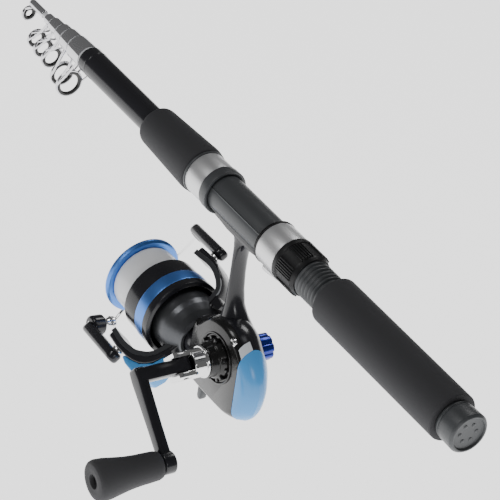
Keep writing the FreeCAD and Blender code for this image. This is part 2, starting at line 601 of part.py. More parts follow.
def make_rotor():
    """Rotor cup with its two arms, the nut and the arm cover."""
    cup = revolved([(-51, 17.8), (-51, size("drum_radius")), (-34, size("drum_radius")), (-33, 24),
                    (-31.5, 24.4), (-24, 22.4), (-24, 19.6), (-32, 19.6), (-32, size("journal_radius")),
                    (-36, size("journal_radius")), (-36, 17.8)])
    cup = cup.cut(block(-34, -20, -30, 30, 7.6, 30).cut(rod(V(-40, 0, 0), V(-10, 0, 0), size("drum_radius"))))
    yoke = slab([
        (-69, -31.5), (-59, -33.5), (-49.6, -33), (-42.7, -31), (-37.8, -28), (-33.5, -21.6), (-31.1, -12.6),
        (-30.6, -2.4), (-32.8, 8.5), (-35.8, 17.3), (-40.2, 25), (-44.9, 29.8), (-52.3, 32.0), (-62, 31.5),
        (-69, 30.5), (-69, 37.2), (-56.6, 37.0), (-45, 34.6), (-38.5, 30.6), (-33.8, 25.4), (-29.9, 17.5),
        (-26.4, 8.0), (-25.1, -2.3), (-25.6, -13.8), (-27.5, -22.8), (-30, -30.4), (-37, -36.4), (-47, -39.2),
        (-58, -39.6), (-69, -38.6)], -7.6, 7.6)
    yoke = yoke.cut(revolved([(-31.9, 0), (-31.9, 19.6), (-10, 19.6), (-10, 0)]))
    yoke = yoke.cut(revolved([(-60, 0), (-60, 17.8), (-36, 17.8), (-36, 0)]))
    yoke = yoke.cut(revolved([(-60, 0), (-60, size("skirt_radius") + 1.5), (-36, size("skirt_radius") + 1.5), (-36, 0)]))
    yoke = yoke.cut(rod(V(-37, 0, 0), V(-31, 0, 0), size("journal_radius")))
    ends = Part.makeCylinder(8.6, 90, V(-size("bail_back"), -45, 0), Y_AXIS)
    front = block(-80, -size("bail_back"), -60, 60, -10, 10)
    yoke = yoke.cut(front.cut(ends))
    back = slab([(-27.5, -22.8), (-24.5, -24), (-23.0, -33), (-25.0, -40), (-31, -43.4), (-45, -42.4), (-45, -38.4),
                 (-37, -36.4), (-30, -30.4)], -6.4, 6.4)
    back = back.cut(yoke.fuse(cup))
    holes = rod(V(-size("bail_back"), -60, 0), V(-size("bail_back"), 60, 0), 2.5 + size("running_gap"))
    formed("rotor", cup.fuse(yoke).removeSplitter().cut(holes), yoke_place())
    formed("rotor_arm_cover", back, yoke_place())
    hexagon = revolved([(-40.5, size("journal_radius")), (-40.5, 6.5), (-36, 6.5), (-36, size("journal_radius"))])
    flats = []
    for i in range(6):
        flat = block(-42, -35, -8, 8, 5.6, 9)
        flat.rotate(ORIGIN, X_AXIS, 60 * i)
        flats.append(flat)
    formed("rotor_nut", hexagon.cut(flats), yoke_place())


def capsule(start, end, radius_a, radius_b, low, high):
    """A bar with round ends in the bail's side plane, between two Y values."""
    a = V(start[0], low, start[1])
    b = V(end[0], low, end[1])
    height = high - low
    line = b - a
    length = line.Length
    unit = V(line.x / length, 0, line.z / length)
    cross = V(-unit.z, 0, unit.x)
    lean = (radius_a - radius_b) / length
    side = math.sqrt(1 - lean * lean)
    corners = []
    for sign, centre, radius in ((1, a, radius_a), (1, b, radius_b), (-1, b, radius_b), (-1, a, radius_a)):
        corners.append(centre + unit * (radius * lean) + cross * (radius * side * sign))
    bar = Part.Face(Part.makePolygon(corners + corners[:1])).extrude(V(0, height, 0))
    ends = [Part.makeCylinder(radius_a, height, a, Y_AXIS), Part.makeCylinder(radius_b, height, b, Y_AXIS)]
    return bar.fuse(ends).removeSplitter()


def make_bail():
    """Bail arms, wire, line roller and their small parts."""
    pivot = -size("bail_back")
    screw = V(-99, -44.15, -8.54)
    along = V(0.02, 0.686, -0.728).normalize()

    def place(distance):
        """A point on the line roller's axis, from the screw's face."""
        return screw + along * distance

    left = capsule((pivot, 0), (-96.0, -11.0), 4.8, 5.8, -46.6, -41.4)
    left = left.fuse([rod(V(pivot, -41.5, 0), V(pivot, -35.5, 0), 2.5),
                      rod(V(pivot, -41.5, 0), V(pivot, -39.9, 0), 4.0),
                      rod(place(0.8), place(9.6), 6.1), rod(place(0), place(0.9), 3.0),
                      rod(place(9), place(16.2), 1.75)])
    formed("bail_arm", left.removeSplitter(), yoke_place())
    right = capsule((pivot, 0), (-97.0, -14.4), 4.4, 5.4, 38.8, 43.6)
    right = right.fuse([rod(V(pivot, 33.8, 0), V(pivot, 39, 0), 2.5),
                        rod(V(pivot, 37.5, 0), V(pivot, 39, 0), 4.0)]).removeSplitter()
    formed("bail_lever", right, yoke_place())
    roller = revolved([(9.8, 1.8), (9.8, 4.6), (11.4, 3.7), (13.4, 3.7), (14.8, 4.6), (14.8, 1.8)], screw, along)
    formed("line_roller", roller, yoke_place())
    cap = rod(place(15.1), place(17.2), 4.2)
    path = [place(16.5), V(-103, -31.5, -25), V(-109, -23, -30), V(-113, -8, -33), V(-113, 9, -33),
            V(-109, 24, -28.5), V(-103, 34.5, -21.5), V(-98.4, 39.8, -15.5)]
    curve = Part.BSplineCurve()
    curve.interpolate(path)
    start = curve.value(curve.FirstParameter)
    tangent = curve.tangent(curve.FirstParameter)[0]
    ring = Part.Wire(Part.makeCircle(size("wire_radius"), start, tangent))
    wire = Part.Wire(curve.toShape()).makePipeShell([ring], True, True)
    pin = rod(place(9), place(16.2), 1.75)
    formed("bail_wire", wire.fuse(cap).cut(pin).cut(right), yoke_place())


# The crank's arm runs down and back from its elbow.
ARM = V(38.9, 0, -32.5).normalize()
ACROSS = V(32.5, 0, 38.9).normalize()


def crank_place(y):
    """A frame on the crank axle with X along the arm and Z across it."""
    turn = FreeCAD.Rotation(ARM, Y_AXIS, ACROSS, "XYZ")
    return FreeCAD.Placement(V(size("axle_x"), y, size("axle_z")), turn)


def make_handle():
    """Folding crank with its bracket, pins, knob and the screw cap that holds it."""
    rod_radius = size("crank_rod_radius")
    bracket = revolved([(-32, 0), (-32, 8.4), (-24.2, 8.4), (-24.2, 9.6), (-22.6, 9.6), (-22.6, 0)],
                       ORIGIN, Y_AXIS)
    for side in (-1, 1):
        cheek = block(4.3 if side > 0 else -7.2, 7.2 if side > 0 else -4.3, -43, -30, -6.4, 6.4)
        bracket = bracket.fuse(cheek.common(Part.makeCylinder(8.4, 20, V(0, -46, 0), Y_AXIS)))
    bracket = bracket.cut(block(-4.3, 4.3, -45, -30.8, -12, 12))
    bracket = bracket.fuse(rod(V(0, -24, 0), V(0, 18.5, 0), rod_radius))
    bracket = bracket.cut(rod(V(-12, -36, 0), V(12, -36, 0), 1.5)).removeSplitter()
    formed("crank_bracket", bracket, crank_place(0))
    formed("fold_pin", rod(V(-7.6, -36, 0), V(7.6, -36, 0), 1.5), crank_place(0))
    reach = size("crank_reach")
    tang = block(-4.2, 4.2, -66, -36, -5.2, 5.2).fuse(rod(V(-4.2, -36, 0), V(4.2, -36, 0), 5.2))
    arm = prism([(-5, -4.6), (reach, -3.4), (reach, 3.4), (-5, 4.6)], -67.5, -61.5)
    end = rod(V(reach, -68, 0), V(reach, -60.5, 0), 6.4)
    crank = tang.fuse([arm, end]).removeSplitter()
    crank = crank.cut(rod(V(-10, -36, 0), V(10, -36, 0), 1.5 + size("running_gap")))
    crank = crank.fuse([rod(V(reach, -100, 0), V(reach, -60.5, 0), rod_radius),
                        rod(V(reach, -101.5, 0), V(reach, -100, 0), 3.6)]).removeSplitter()
    formed("crank_arm", crank, crank_place(0))
    long = size("knob_length")
    knob = revolved([(0, rod_radius + 0.05), (0, 7.2), (1.5, 8.4), (0.35 * long, 9.0), (0.7 * long, 11.2),
                     (0.93 * long, 12.2), (long, 11.0), (long, 4.0), (31.0, 4.0), (31.0, rod_radius + 0.05)],
                    V(reach, -68.6, 0), -Y_AXIS)
    formed("knob", knob, crank_place(0))
    cap = revolved([(12.0, 0), (12.0, 8.0), (20.0, 8.0), (21.4, 6.6), (21.4, 0)], ORIGIN, Y_AXIS)
    cap = cap.cut(rod(V(0, 6, 0), V(0, 18.6, 0), rod_radius + size("running_gap")))
    for i in range(8):
        notch = rod(V(9.0, 12.8, 0), V(9.0, 26, 0), 1.7)
        notch.rotate(ORIGIN, Y_AXIS, 45 * i)
        cap = cap.cut(notch)
    formed("screw_cap", cap, crank_place(0))


make_rod()
make_sections()
make_case()
make_drive()
make_spool()
make_rotor()
make_bail()
make_handle()
doc.recompute()

bad = [item.Label for item in doc.Objects if "Invalid" in item.State or "Error" in item.State]
if bad:
    raise RuntimeError("objects that did not compute: " + ", ".join(bad))
for item in parts:
    shape = item.Shape
    if shape.isNull() or not shape.isValid() or shape.Volume <= 0:
        raise RuntimeError("sub-part without a valid solid: " + item.Label)
    shape.exportStep("parts/" + item.Label + ".step")
print("%d sub-parts written" % len(parts))
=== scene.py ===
"""Telescopic fishing rod with a spinning reel: the visual model around its fixed frame.

Sizes are millimetres in each class and metres in the meshes. The rod runs along X with its
tip towards -X, Z is up and the crank is on the -Y side.
"""

import json
import logging
import math
from dataclasses import dataclass
from enum import Enum
from typing import Callable, Iterable, Sequence

import bmesh
import bpy
from mathutils import Matrix, Vector

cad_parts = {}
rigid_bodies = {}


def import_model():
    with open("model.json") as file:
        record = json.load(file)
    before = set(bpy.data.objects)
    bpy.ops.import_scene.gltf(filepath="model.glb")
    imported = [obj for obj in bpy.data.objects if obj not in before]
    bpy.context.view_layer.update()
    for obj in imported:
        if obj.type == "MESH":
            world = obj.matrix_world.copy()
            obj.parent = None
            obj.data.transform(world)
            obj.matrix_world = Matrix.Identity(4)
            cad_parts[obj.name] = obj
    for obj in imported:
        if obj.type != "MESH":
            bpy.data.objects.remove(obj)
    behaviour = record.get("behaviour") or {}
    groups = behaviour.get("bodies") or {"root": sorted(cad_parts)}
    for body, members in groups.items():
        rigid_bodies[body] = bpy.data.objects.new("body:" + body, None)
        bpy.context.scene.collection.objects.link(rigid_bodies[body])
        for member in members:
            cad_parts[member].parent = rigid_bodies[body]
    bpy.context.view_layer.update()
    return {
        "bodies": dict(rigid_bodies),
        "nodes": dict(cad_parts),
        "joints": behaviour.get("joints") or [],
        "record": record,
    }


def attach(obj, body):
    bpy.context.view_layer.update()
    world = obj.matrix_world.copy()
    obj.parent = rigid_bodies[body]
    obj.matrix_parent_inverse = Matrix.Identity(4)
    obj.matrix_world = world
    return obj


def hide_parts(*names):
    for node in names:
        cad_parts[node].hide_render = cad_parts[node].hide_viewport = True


LOG = logging.getLogger("rod_and_reel")
MM = 0.001
WELD = 0.0005
ON_PLANE = 0.0001
COAT_ROUGHNESS = 0.04
PATCH_SCALE = 60.0
RELIEF_STRENGTH = 0.6
SHORTEST_ARC = 0.02
LARGEST_SHARE = 0.45
Pair = tuple[float, float]
Triple = tuple[float, float, float]


class Pattern(Enum):
    """The kind of surface relief a finish carries."""

    GRAIN = "grain"
    BRUSHED = "brushed"
    TURNED = "turned"
    FOAM = "foam"
    WOUND = "wound"


@dataclass(frozen=True)
class Finish:
    """One surface finish, built as a procedural material.

    Args:
        name: Material name, also used to find it again.
        slot: Not used.
        color: Main colour, linear red, green and blue.
        second: Colour that the main one drifts towards in patches.
        rough: Roughness of the surface.
        metal: Metallic share.
        coat: Clear coat weight.
        pattern: Kind of relief.
        scale: How fine the relief is, in waves per metre.
        bump: Height of the relief in metres.
        drift: How far the patches change the roughness.
        shine: Strength of the plain reflection.
        glow: Light that the surface gives off by itself.
    """

    name: str
    slot: str
    color: Triple
    second: Triple
    rough: float = 0.4
    metal: float = 0.0
    coat: float = 0.0
    pattern: Pattern = Pattern.GRAIN
    scale: float = 900.0
    bump: float = 0.00002
    drift: float = 0.06
    shine: float = 0.5
    glow: float = 0.0

    def material(self) -> bpy.types.Material:
        """Build the material once and return it.

        Returns:
            The material, ready for a mesh.
        """
        known = bpy.data.materials.get(self.name)
        if known is not None:
            return known
        material = bpy.data.materials.new(self.name)
        material.use_nodes = True
        tree = material.node_tree
        shader = tree.nodes["Principled BSDF"]
        shader.inputs["Metallic"].default_value = self.metal
        shader.inputs["Coat Weight"].default_value = self.coat
        shader.inputs["Coat Roughness"].default_value = COAT_ROUGHNESS
        shader.inputs["Specular IOR Level"].default_value = self.shine
        shader.inputs["Emission Color"].default_value = (1.0, 1.0, 1.0, 1.0)
        shader.inputs["Emission Strength"].default_value = self.glow
        place = tree.nodes.new("ShaderNodeTexCoord")
        stretch = tree.nodes.new("ShaderNodeMapping")
        stretch.inputs["Scale"].default_value = self._stretch()
        tree.links.new(place.outputs["Object"], stretch.inputs["Vector"])
        fine = self._relief(tree, stretch)
        patches = tree.nodes.new("ShaderNodeTexNoise")
        patches.inputs["Scale"].default_value = PATCH_SCALE
        patches.inputs["Detail"].default_value = 4.0
        tree.links.new(place.outputs["Object"], patches.inputs["Vector"])
        paint = tree.nodes.new("ShaderNodeMix")
        paint.data_type = "RGBA"
        paint.inputs["A"].default_value = (*self.color, 1.0)
        paint.inputs["B"].default_value = (*self.second, 1.0)
        tree.links.new(patches.outputs["Fac"], paint.inputs["Factor"])
        tree.links.new(paint.outputs["Result"], shader.inputs["Base Color"])
        worn = tree.nodes.new("ShaderNodeMapRange")
        worn.inputs["To Min"].default_value = max(0.02, self.rough - self.drift)
        worn.inputs["To Max"].default_value = self.rough + self.drift
        tree.links.new(fine, worn.inputs["Value"])
        tree.links.new(worn.outputs["Result"], shader.inputs["Roughness"])
        bump = tree.nodes.new("ShaderNodeBump")
        bump.inputs["Distance"].default_value = self.bump
        bump.inputs["Strength"].default_value = RELIEF_STRENGTH
        tree.links.new(fine, bump.inputs["Height"])
        tree.links.new(bump.outputs["Normal"], shader.inputs["Normal"])
        return material

    def _stretch(self) -> Triple:
        """Return how far the relief is drawn out along each direction.

        Returns:
            One factor for each direction.
        """
        if self.pattern is Pattern.BRUSHED:
            return (1.0, 0.03, 0.03)
        return (1.0, 1.0, 1.0)

    def _relief(self, tree: bpy.types.NodeTree, stretch: bpy.types.Node) -> bpy.types.NodeSocket:
        """Add the texture that drives relief and roughness, and return its output.

        Args:
            tree: The material's node tree.
            stretch: The node that gives the coordinates.

        Returns:
            The output that carries the relief's height.
        """
        if self.pattern in (Pattern.TURNED, Pattern.WOUND):
            wave = tree.nodes.new("ShaderNodeTexWave")
            wave.wave_type = "BANDS"
            wave.bands_direction = "X"
            wave.inputs["Scale"].default_value = self.scale
            wave.inputs["Distortion"].default_value = 1.5 if self.pattern is Pattern.WOUND else 0.3
            wave.inputs["Detail"].default_value = 2.0
            tree.links.new(stretch.outputs["Vector"], wave.inputs["Vector"])
            return wave.outputs["Fac"]
        if self.pattern is Pattern.FOAM:
            cells = tree.nodes.new("ShaderNodeTexVoronoi")
            cells.inputs["Scale"].default_value = self.scale
            tree.links.new(stretch.outputs["Vector"], cells.inputs["Vector"])
            return cells.outputs["Distance"]
        noise = tree.nodes.new("ShaderNodeTexNoise")
        noise.inputs["Scale"].default_value = self.scale
        noise.inputs["Detail"].default_value = 6.0
        tree.links.new(stretch.outputs["Vector"], noise.inputs["Vector"])
        return noise.outputs["Fac"]


FOAM = Finish("foam", "foam", (0.008, 0.008, 0.009), (0.014, 0.014, 0.015), 0.85, pattern=Pattern.FOAM,
              scale=1500.0, bump=0.00008, shine=0.2)
SATIN = Finish("black_satin", "black_satin", (0.010, 0.010, 0.011), (0.015, 0.015, 0.016), 0.38,
               scale=1600.0, shine=0.4)
NUT_BLACK = Finish("nut_black", "black_satin", (0.007, 0.007, 0.008), (0.011, 0.011, 0.012), 0.42,
                   scale=1600.0, shine=0.35)
GLOSS = Finish("black_gloss", "black_gloss", (0.003, 0.003, 0.003), (0.006, 0.006, 0.006), 0.14, coat=0.4,
               scale=500.0, bump=0.000003, drift=0.03, shine=0.4)
COVER = Finish("cover_black", "black_gloss", (0.005, 0.005, 0.005), (0.009, 0.009, 0.009), 0.24, coat=0.2,
               scale=900.0, bump=0.000002, drift=0.03, shine=0.4)
# Lighter grey metallic copy of the black gloss: painted sheen on the rotor's drum and along its arms' inner
# edge.
PAINTED_SHEEN_GREY = Finish("black_gloss_painted_sheen", "black_gloss", (0.075, 0.078, 0.085), (0.11, 0.113, 0.12), 0.33, metal=0.75,
                  scale=1400.0, bump=0.000008)
BLANK = Finish("blank", "blank", (0.004, 0.004, 0.004), (0.007, 0.007, 0.007), 0.12, coat=0.6, scale=700.0,
               bump=0.000003, drift=0.03, shine=0.4)
SILVER = Finish("silver_ring", "silver_ring", (0.66, 0.66, 0.67), (0.76, 0.76, 0.77), 0.24, metal=1.0,
                pattern=Pattern.TURNED, scale=700.0, bump=0.000006, drift=0.08)
PALE = Finish("section_paint", "section_paint", (0.55, 0.56, 0.59), (0.68, 0.69, 0.71), 0.22, metal=0.55,
              coat=0.5, pattern=Pattern.TURNED, scale=500.0, bump=0.000005)
GUIDE = Finish("guide_metal", "guide_metal", (0.50, 0.50, 0.52), (0.62, 0.62, 0.64), 0.18, metal=1.0,
               pattern=Pattern.BRUSHED, scale=1500.0, bump=0.000006)
# Near-black gloss: the guide linings' own colour, also used as painted shade in the screw crosses and the
# spool windows.
LINING_AND_SHADE = Finish("guide_lining", "guide_lining", (0.005, 0.005, 0.005), (0.010, 0.010, 0.010), 0.12, coat=0.6,
                scale=800.0, bump=0.000003, drift=0.03)
BLUE = Finish("blue_metal", "blue_metal", (0.003, 0.024, 0.45), (0.005, 0.036, 0.56), 0.20, metal=0.85,
              coat=0.2, pattern=Pattern.TURNED, scale=900.0, bump=0.000004)
SKY = Finish("blue_paint", "blue_paint", (0.002, 0.055, 0.45), (0.003, 0.085, 0.58), 0.18, metal=0.55,
             coat=0.3, scale=2600.0, bump=0.000004)
NAVY = Finish("navy_metal", "blue_metal", (0.004, 0.02, 0.25), (0.008, 0.03, 0.34), 0.24, metal=0.7,
              coat=0.3, scale=1200.0, bump=0.000005)
PEARL = Finish("pearl", "pearl", (0.62, 0.64, 0.68), (0.80, 0.80, 0.78), 0.15, metal=0.5, coat=0.9,
               scale=700.0, bump=0.000006)
CHROME = Finish("chrome", "chrome", (0.70, 0.70, 0.71), (0.78, 0.78, 0.78), 0.10, metal=1.0, scale=600.0,
                bump=0.000003, drift=0.04)
STEEL = Finish("steel", "steel", (0.50, 0.50, 0.52), (0.60, 0.60, 0.61), 0.30, metal=1.0,
               pattern=Pattern.TURNED, scale=1200.0, bump=0.000008)
BRASS = Finish("brass", "brass", (0.62, 0.44, 0.16), (0.70, 0.52, 0.22), 0.32, metal=1.0, scale=1400.0)
ZINC = Finish("zinc", "zinc", (0.42, 0.43, 0.45), (0.50, 0.51, 0.53), 0.45, metal=1.0, scale=900.0)
FELT = Finish("felt", "felt", (0.20, 0.20, 0.21), (0.28, 0.28, 0.29), 0.9, pattern=Pattern.FOAM,
              scale=1800.0)
LINE = Finish("line", "line", (0.66, 0.67, 0.70), (0.78, 0.79, 0.82), 0.30, coat=0.3, pattern=Pattern.WOUND,
              scale=520.0, bump=0.00012)
RUBBER = Finish("knob_rubber", "knob_rubber", (0.006, 0.006, 0.007), (0.010, 0.010, 0.011), 0.52,
                pattern=Pattern.FOAM, scale=2200.0, bump=0.00003, shine=0.35)


class Forge:
    """Builds meshes with bmesh operators, in millimetres about a local frame."""

    def __init__(self, frame: Matrix | None = None) -> None:
        """Start an empty mesh.

        Args:
            frame: Where the local millimetre frame sits in the row frame, in millimetres.
        """
        self.bm = bmesh.new()
        self.frame = frame if frame is not None else Matrix.Identity(4)

    def _take(self, part: bmesh.types.BMesh, local: Matrix | None = None) -> None:
        """Add a finished part, placed in the local frame.

        Args:
            part: The finished part, which is freed.
            local: Extra placement inside the local frame.
        """
        bmesh.ops.recalc_face_normals(part, faces=part.faces)
        if local is not None:
            bmesh.ops.transform(part, matrix=local, verts=part.verts)
        mesh = bpy.data.meshes.new("part")
        part.to_mesh(mesh)
        part.free()
        self.bm.from_mesh(mesh)
        bpy.data.meshes.remove(mesh)

    def lathe(self, profile: Sequence[Pair], local: Matrix | None = None, steps: int = 72,
              soft: float = 0.0, closed: bool = True) -> None:
        """Turn a profile of (along X, radius) pairs about the local X axis.

        Args:
            profile: Corners of the section.
            local: Extra placement inside the local frame.
            steps: Facets round the turn.
            soft: Radius of the rounding put on each corner.
            closed: Whether the profile's ends are joined.
        """
        points = rounded(profile, soft, closed)
        part = bmesh.new()
        grown = bmesh.ops.create_vert(part, co=(points[0][0], points[0][1], 0.0))["vert"][0]
        first = grown
        for along, radius in points[1:]:
            grown = bmesh.ops.extrude_vert_indiv(part, verts=[grown])["verts"][0]
            grown.co = (along, radius, 0.0)
        if closed:
            bmesh.ops.contextual_create(part, geom=[grown, first])
        bmesh.ops.spin(part, geom=part.verts[:] + part.edges[:], cent=(0, 0, 0), axis=(1, 0, 0),
                       dvec=(0, 0, 0), angle=math.tau, steps=steps, use_merge=True)
        bmesh.ops.remove_doubles(part, verts=part.verts, dist=WELD)
        self._take(part, local)

    def prism(self, outline: Sequence[Pair], low: float, high: float, local: Matrix | None = None,
              bevel: float = 0.0, segments: int = 3) -> None:
        """Make an outline in the local X-Z plane thick along Y.

        Args:
            outline: Corners as (x, z).
            low: Start along Y.
            high: End along Y.
            local: Extra placement inside the local frame.
            bevel: Width of the rounding on its sharp edges.
            segments: Steps of that rounding.
        """
        part = bmesh.new()
        made = bmesh.ops.create_circle(part, cap_ends=True, segments=len(outline), radius=1.0)["verts"]
        for vert, (x, z) in zip(made, outline):
            vert.co = (x, low, z)
        grown = bmesh.ops.extrude_face_region(part, geom=part.faces[:])["geom"]
        moved = [item for item in grown if isinstance(item, bmesh.types.BMVert)]
        bmesh.ops.translate(part, verts=moved, vec=(0, high - low, 0))
        bmesh.ops.recalc_face_normals(part, faces=part.faces)
        if bevel > 0:
            soften(part, bevel, segments)
        self._take(part, local)

    def loft(self, rings: Sequence[Sequence[Triple]], local: Matrix | None = None) -> None:
        """Bridge rings of equal length into a closed skin.

        Args:
            rings: The sections, in order, with the same number of corners.
            local: Extra placement inside the local frame.
        """
        part = bmesh.new()
        loops = []
        for ring in rings:
            verts = bmesh.ops.create_circle(part, cap_ends=False, segments=len(ring), radius=1.0)["verts"]
            for vert, place in zip(verts, ring):
                vert.co = place
            loops.append(verts)
        for near, far in zip(loops, loops[1:]):
            edges = [e for e in part.edges if all(v in near for v in e.verts)
                     or all(v in far for v in e.verts)]
            bmesh.ops.bridge_loops(part, edges=edges)
        for loop in (loops[0], loops[-1]):
            bmesh.ops.contextual_create(part, geom=loop)
        bmesh.ops.triangulate(part, faces=[f for f in part.faces if len(f.verts) > 4])
        self._take(part, local)

    def bar(self, start: Triple, end: Triple, radius: float, far_radius: float | None = None,
            steps: int = 20) -> None:
        """Add a round bar between two points of the local frame.

        Args:
            start: Middle of the first end.
            end: Middle of the far end.
            radius: Radius at the first end.
            far_radius: Radius at the far end, if it differs.
            steps: Facets round the bar.
        """
        a = Vector(start)
        b = Vector(end)
        turn = (b - a).to_track_quat("Z", "Y").to_matrix().to_4x4()
        part = bmesh.new()
        bmesh.ops.create_cone(part, cap_ends=True, segments=steps, radius1=radius,
                              radius2=radius if far_radius is None else far_radius, depth=(b - a).length)
        self._take(part, Matrix.Translation((a + b) / 2) @ turn)

    def ball(self, centre: Triple, radii: Triple, steps: int = 24) -> None:
        """Add a squashed ball.

        Args:
            centre: Its middle.
            radii: Its radius along each direction.
            steps: Facets round its waist.
        """
        part = bmesh.new()
        bmesh.ops.create_uvsphere(part, u_segments=steps, v_segments=steps // 2, radius=1.0)
        scale = Matrix.Diagonal((*radii, 1.0))
        self._take(part, Matrix.Translation(centre) @ scale)

    def block(self, low: Triple, high: Triple, bevel: float = 0.0, local: Matrix | None = None) -> None:
        """Add a box from its limits, with rounded edges.

        Args:
            low: Its lowest corner.
            high: Its highest corner.
            bevel: Width of the rounding on its edges.
            local: Extra placement inside the local frame.
        """
        part = bmesh.new()
        bmesh.ops.create_cube(part, size=1.0)
        span = [b - a for a, b in zip(low, high)]
        middle = [(a + b) / 2 for a, b in zip(low, high)]
        bmesh.ops.transform(part, matrix=Matrix.Translation(middle) @ Matrix.Diagonal((*span, 1.0)),
                            verts=part.verts)
        if bevel > 0:
            soften(part, bevel, 2)
        self._take(part, local)

    def pipe(self, path: Sequence[Triple], radius: float, steps: int = 12) -> None:
        """Add a round wire through the given points.

        Args:
            path: Points that the wire passes through.
            radius: Radius of the wire.
            steps: How finely its section is drawn.
        """
        curve = bpy.data.curves.new("path", "CURVE")
        curve.dimensions = "3D"
        curve.bevel_depth = radius
        curve.bevel_resolution = steps // 4
        curve.use_fill_caps = True
        line = curve.splines.new("POLY")
        smooth = through(path, 10)
        line.points.add(len(smooth) - 1)
        for point, place in zip(line.points, smooth):
            point.co = (*place, 1.0)
        holder = bpy.data.objects.new("path", curve)
        mesh = bpy.data.meshes.new_from_object(holder)
        part = bmesh.new()
        part.from_mesh(mesh)
        bpy.data.objects.remove(holder)
        bpy.data.curves.remove(curve)
        bpy.data.meshes.remove(mesh)
        bmesh.ops.remove_doubles(part, verts=part.verts, dist=WELD)
        self._take(part)

    def flat(self, point: Triple, normal: Triple) -> None:
        """Cut away what is beyond a plane and close the cut.

        Args:
            point: A point on the plane.
            normal: Direction of the side that is removed.
        """
        cut = bmesh.ops.bisect_plane(self.bm, geom=self.bm.verts[:] + self.bm.edges[:] + self.bm.faces[:],
                                     dist=ON_PLANE, plane_co=point, plane_no=normal, clear_outer=True)
        rim = [item for item in cut["geom_cut"] if isinstance(item, bmesh.types.BMEdge)]
        bmesh.ops.edgenet_fill(self.bm, edges=rim)
        bmesh.ops.triangulate(self.bm, faces=[f for f in self.bm.faces if len(f.verts) > 8])

    def done(self, name: str, finish: Finish, body: str, nodes: Iterable[str] = (),
             sharp: float = 32.0) -> bpy.types.Object:
        """Turn the mesh into a finished piece of the object.

        Args:
            name: The piece's name.
            finish: Its surface.
            body: The moving body it rides on.
            nodes: The frame's nodes that it stands for.
            sharp: Angle in degrees above which an edge stays crisp.

        Returns:
            The finished object, at the origin.
        """
        bmesh.ops.transform(self.bm, matrix=Matrix.Diagonal((MM, MM, MM, 1.0)) @ self.frame,
                            verts=self.bm.verts)
        limit = math.radians(sharp)
        for face in self.bm.faces:
            face.smooth = True
        for edge in self.bm.edges:
            if len(edge.link_faces) == 2 and edge.calc_face_angle() > limit:
                edge.smooth = False
        mesh = bpy.data.meshes.new(name)
        self.bm.to_mesh(mesh)
        self.bm.free()
        piece = bpy.data.objects.new(name, mesh)
        bpy.context.scene.collection.objects.link(piece)
        mesh.materials.append(finish.material())
        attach(piece, body)
        nodes = list(nodes)
        if nodes:
            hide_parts(*nodes)
        LOG.info("%s: %d faces on %s", name, len(mesh.polygons), body)
        return piece


def soften(part: bmesh.types.BMesh, width: float, segments: int, limit: float = 28.0) -> None:
    """Round every edge of a mesh that is sharper than the limit in degrees.

    Args:
        part: The mesh to round.
        width: Width of the rounding.
        segments: Steps of the rounding.
        limit: Smallest angle in degrees that is rounded.
    """
    edges = [e for e in part.edges if len(e.link_faces) == 2 and e.calc_face_angle() > math.radians(limit)]
    bmesh.ops.bevel(part, geom=edges, offset=width, offset_type="OFFSET", affect="EDGES", segments=segments,
                    profile=0.5, material=-1, clamp_overlap=True)


def rounded(profile: Sequence[Pair], radius: float, closed: bool, steps: int = 3) -> list[Pair]:
    """Replace each corner of a profile by a short arc.

    Args:
        profile: Corners of the profile.
        radius: Length taken off each side of a corner.
        closed: Whether the profile's ends are joined.
        steps: Steps of each arc.

    Returns:
        The corners with their arcs.
    """
    if radius <= 0:
        return list(profile)
    result: list[Pair] = []
    count = len(profile)
    for i, corner in enumerate(profile):
        if not closed and i in (0, count - 1):
            result.append(corner)
            continue
        here = Vector(corner)
        before = Vector(profile[i - 1]) - here
        after = Vector(profile[(i + 1) % count]) - here
        reach = min(radius, before.length * LARGEST_SHARE, after.length * LARGEST_SHARE)
        if reach < SHORTEST_ARC or corner[1] <= 0.001:
            result.append(corner)
            continue
        start = here + before.normalized() * reach
        end = here + after.normalized() * reach
        for step in range(steps + 1):
            t = step / steps
            place = start * (1 - t) ** 2 + here * (2 * t * (1 - t)) + end * t ** 2
            result.append((place.x, max(0.0, place.y)))
    return result


def through(path: Sequence[Triple], parts: int) -> list[Vector]:
    """Points on a smooth curve through the given ones.

    Args:
        path: Points that the curve passes through.
        parts: Steps between two of them.

    Returns:
        Points along the curve.
    """
    points = [Vector(p) for p in path]
    points = [points[0] * 2 - points[1]] + points + [points[-1] * 2 - points[-2]]
    result = []
    for a, b, c, d in zip(points, points[1:], points[2:], points[3:]):
        for i in range(parts):
            t = i / parts
            result.append(0.5 * ((2 * b) + (c - a) * t + (2 * a - 5 * b + 4 * c - d) * t * t
                                 + (3 * b - a - 3 * c + d) * t ** 3))
    result.append(points[-2])
    return result


def smooth_outline(corners: Sequence[Pair], parts: int = 4) -> list[Pair]:
    """A closed outline drawn smoothly through its corners.

    Args:
        corners: Points that the outline passes through.
        parts: Steps between two of them.

    Returns:
        Corners of the outline.
    """
    ring = [(x, 0.0, z) for x, z in corners]
    looped = through([ring[-1]] + ring + [ring[0]], parts)
    body = looped[parts:-1]
    return [(p.x, p.z) for p in body[:len(corners) * parts]]


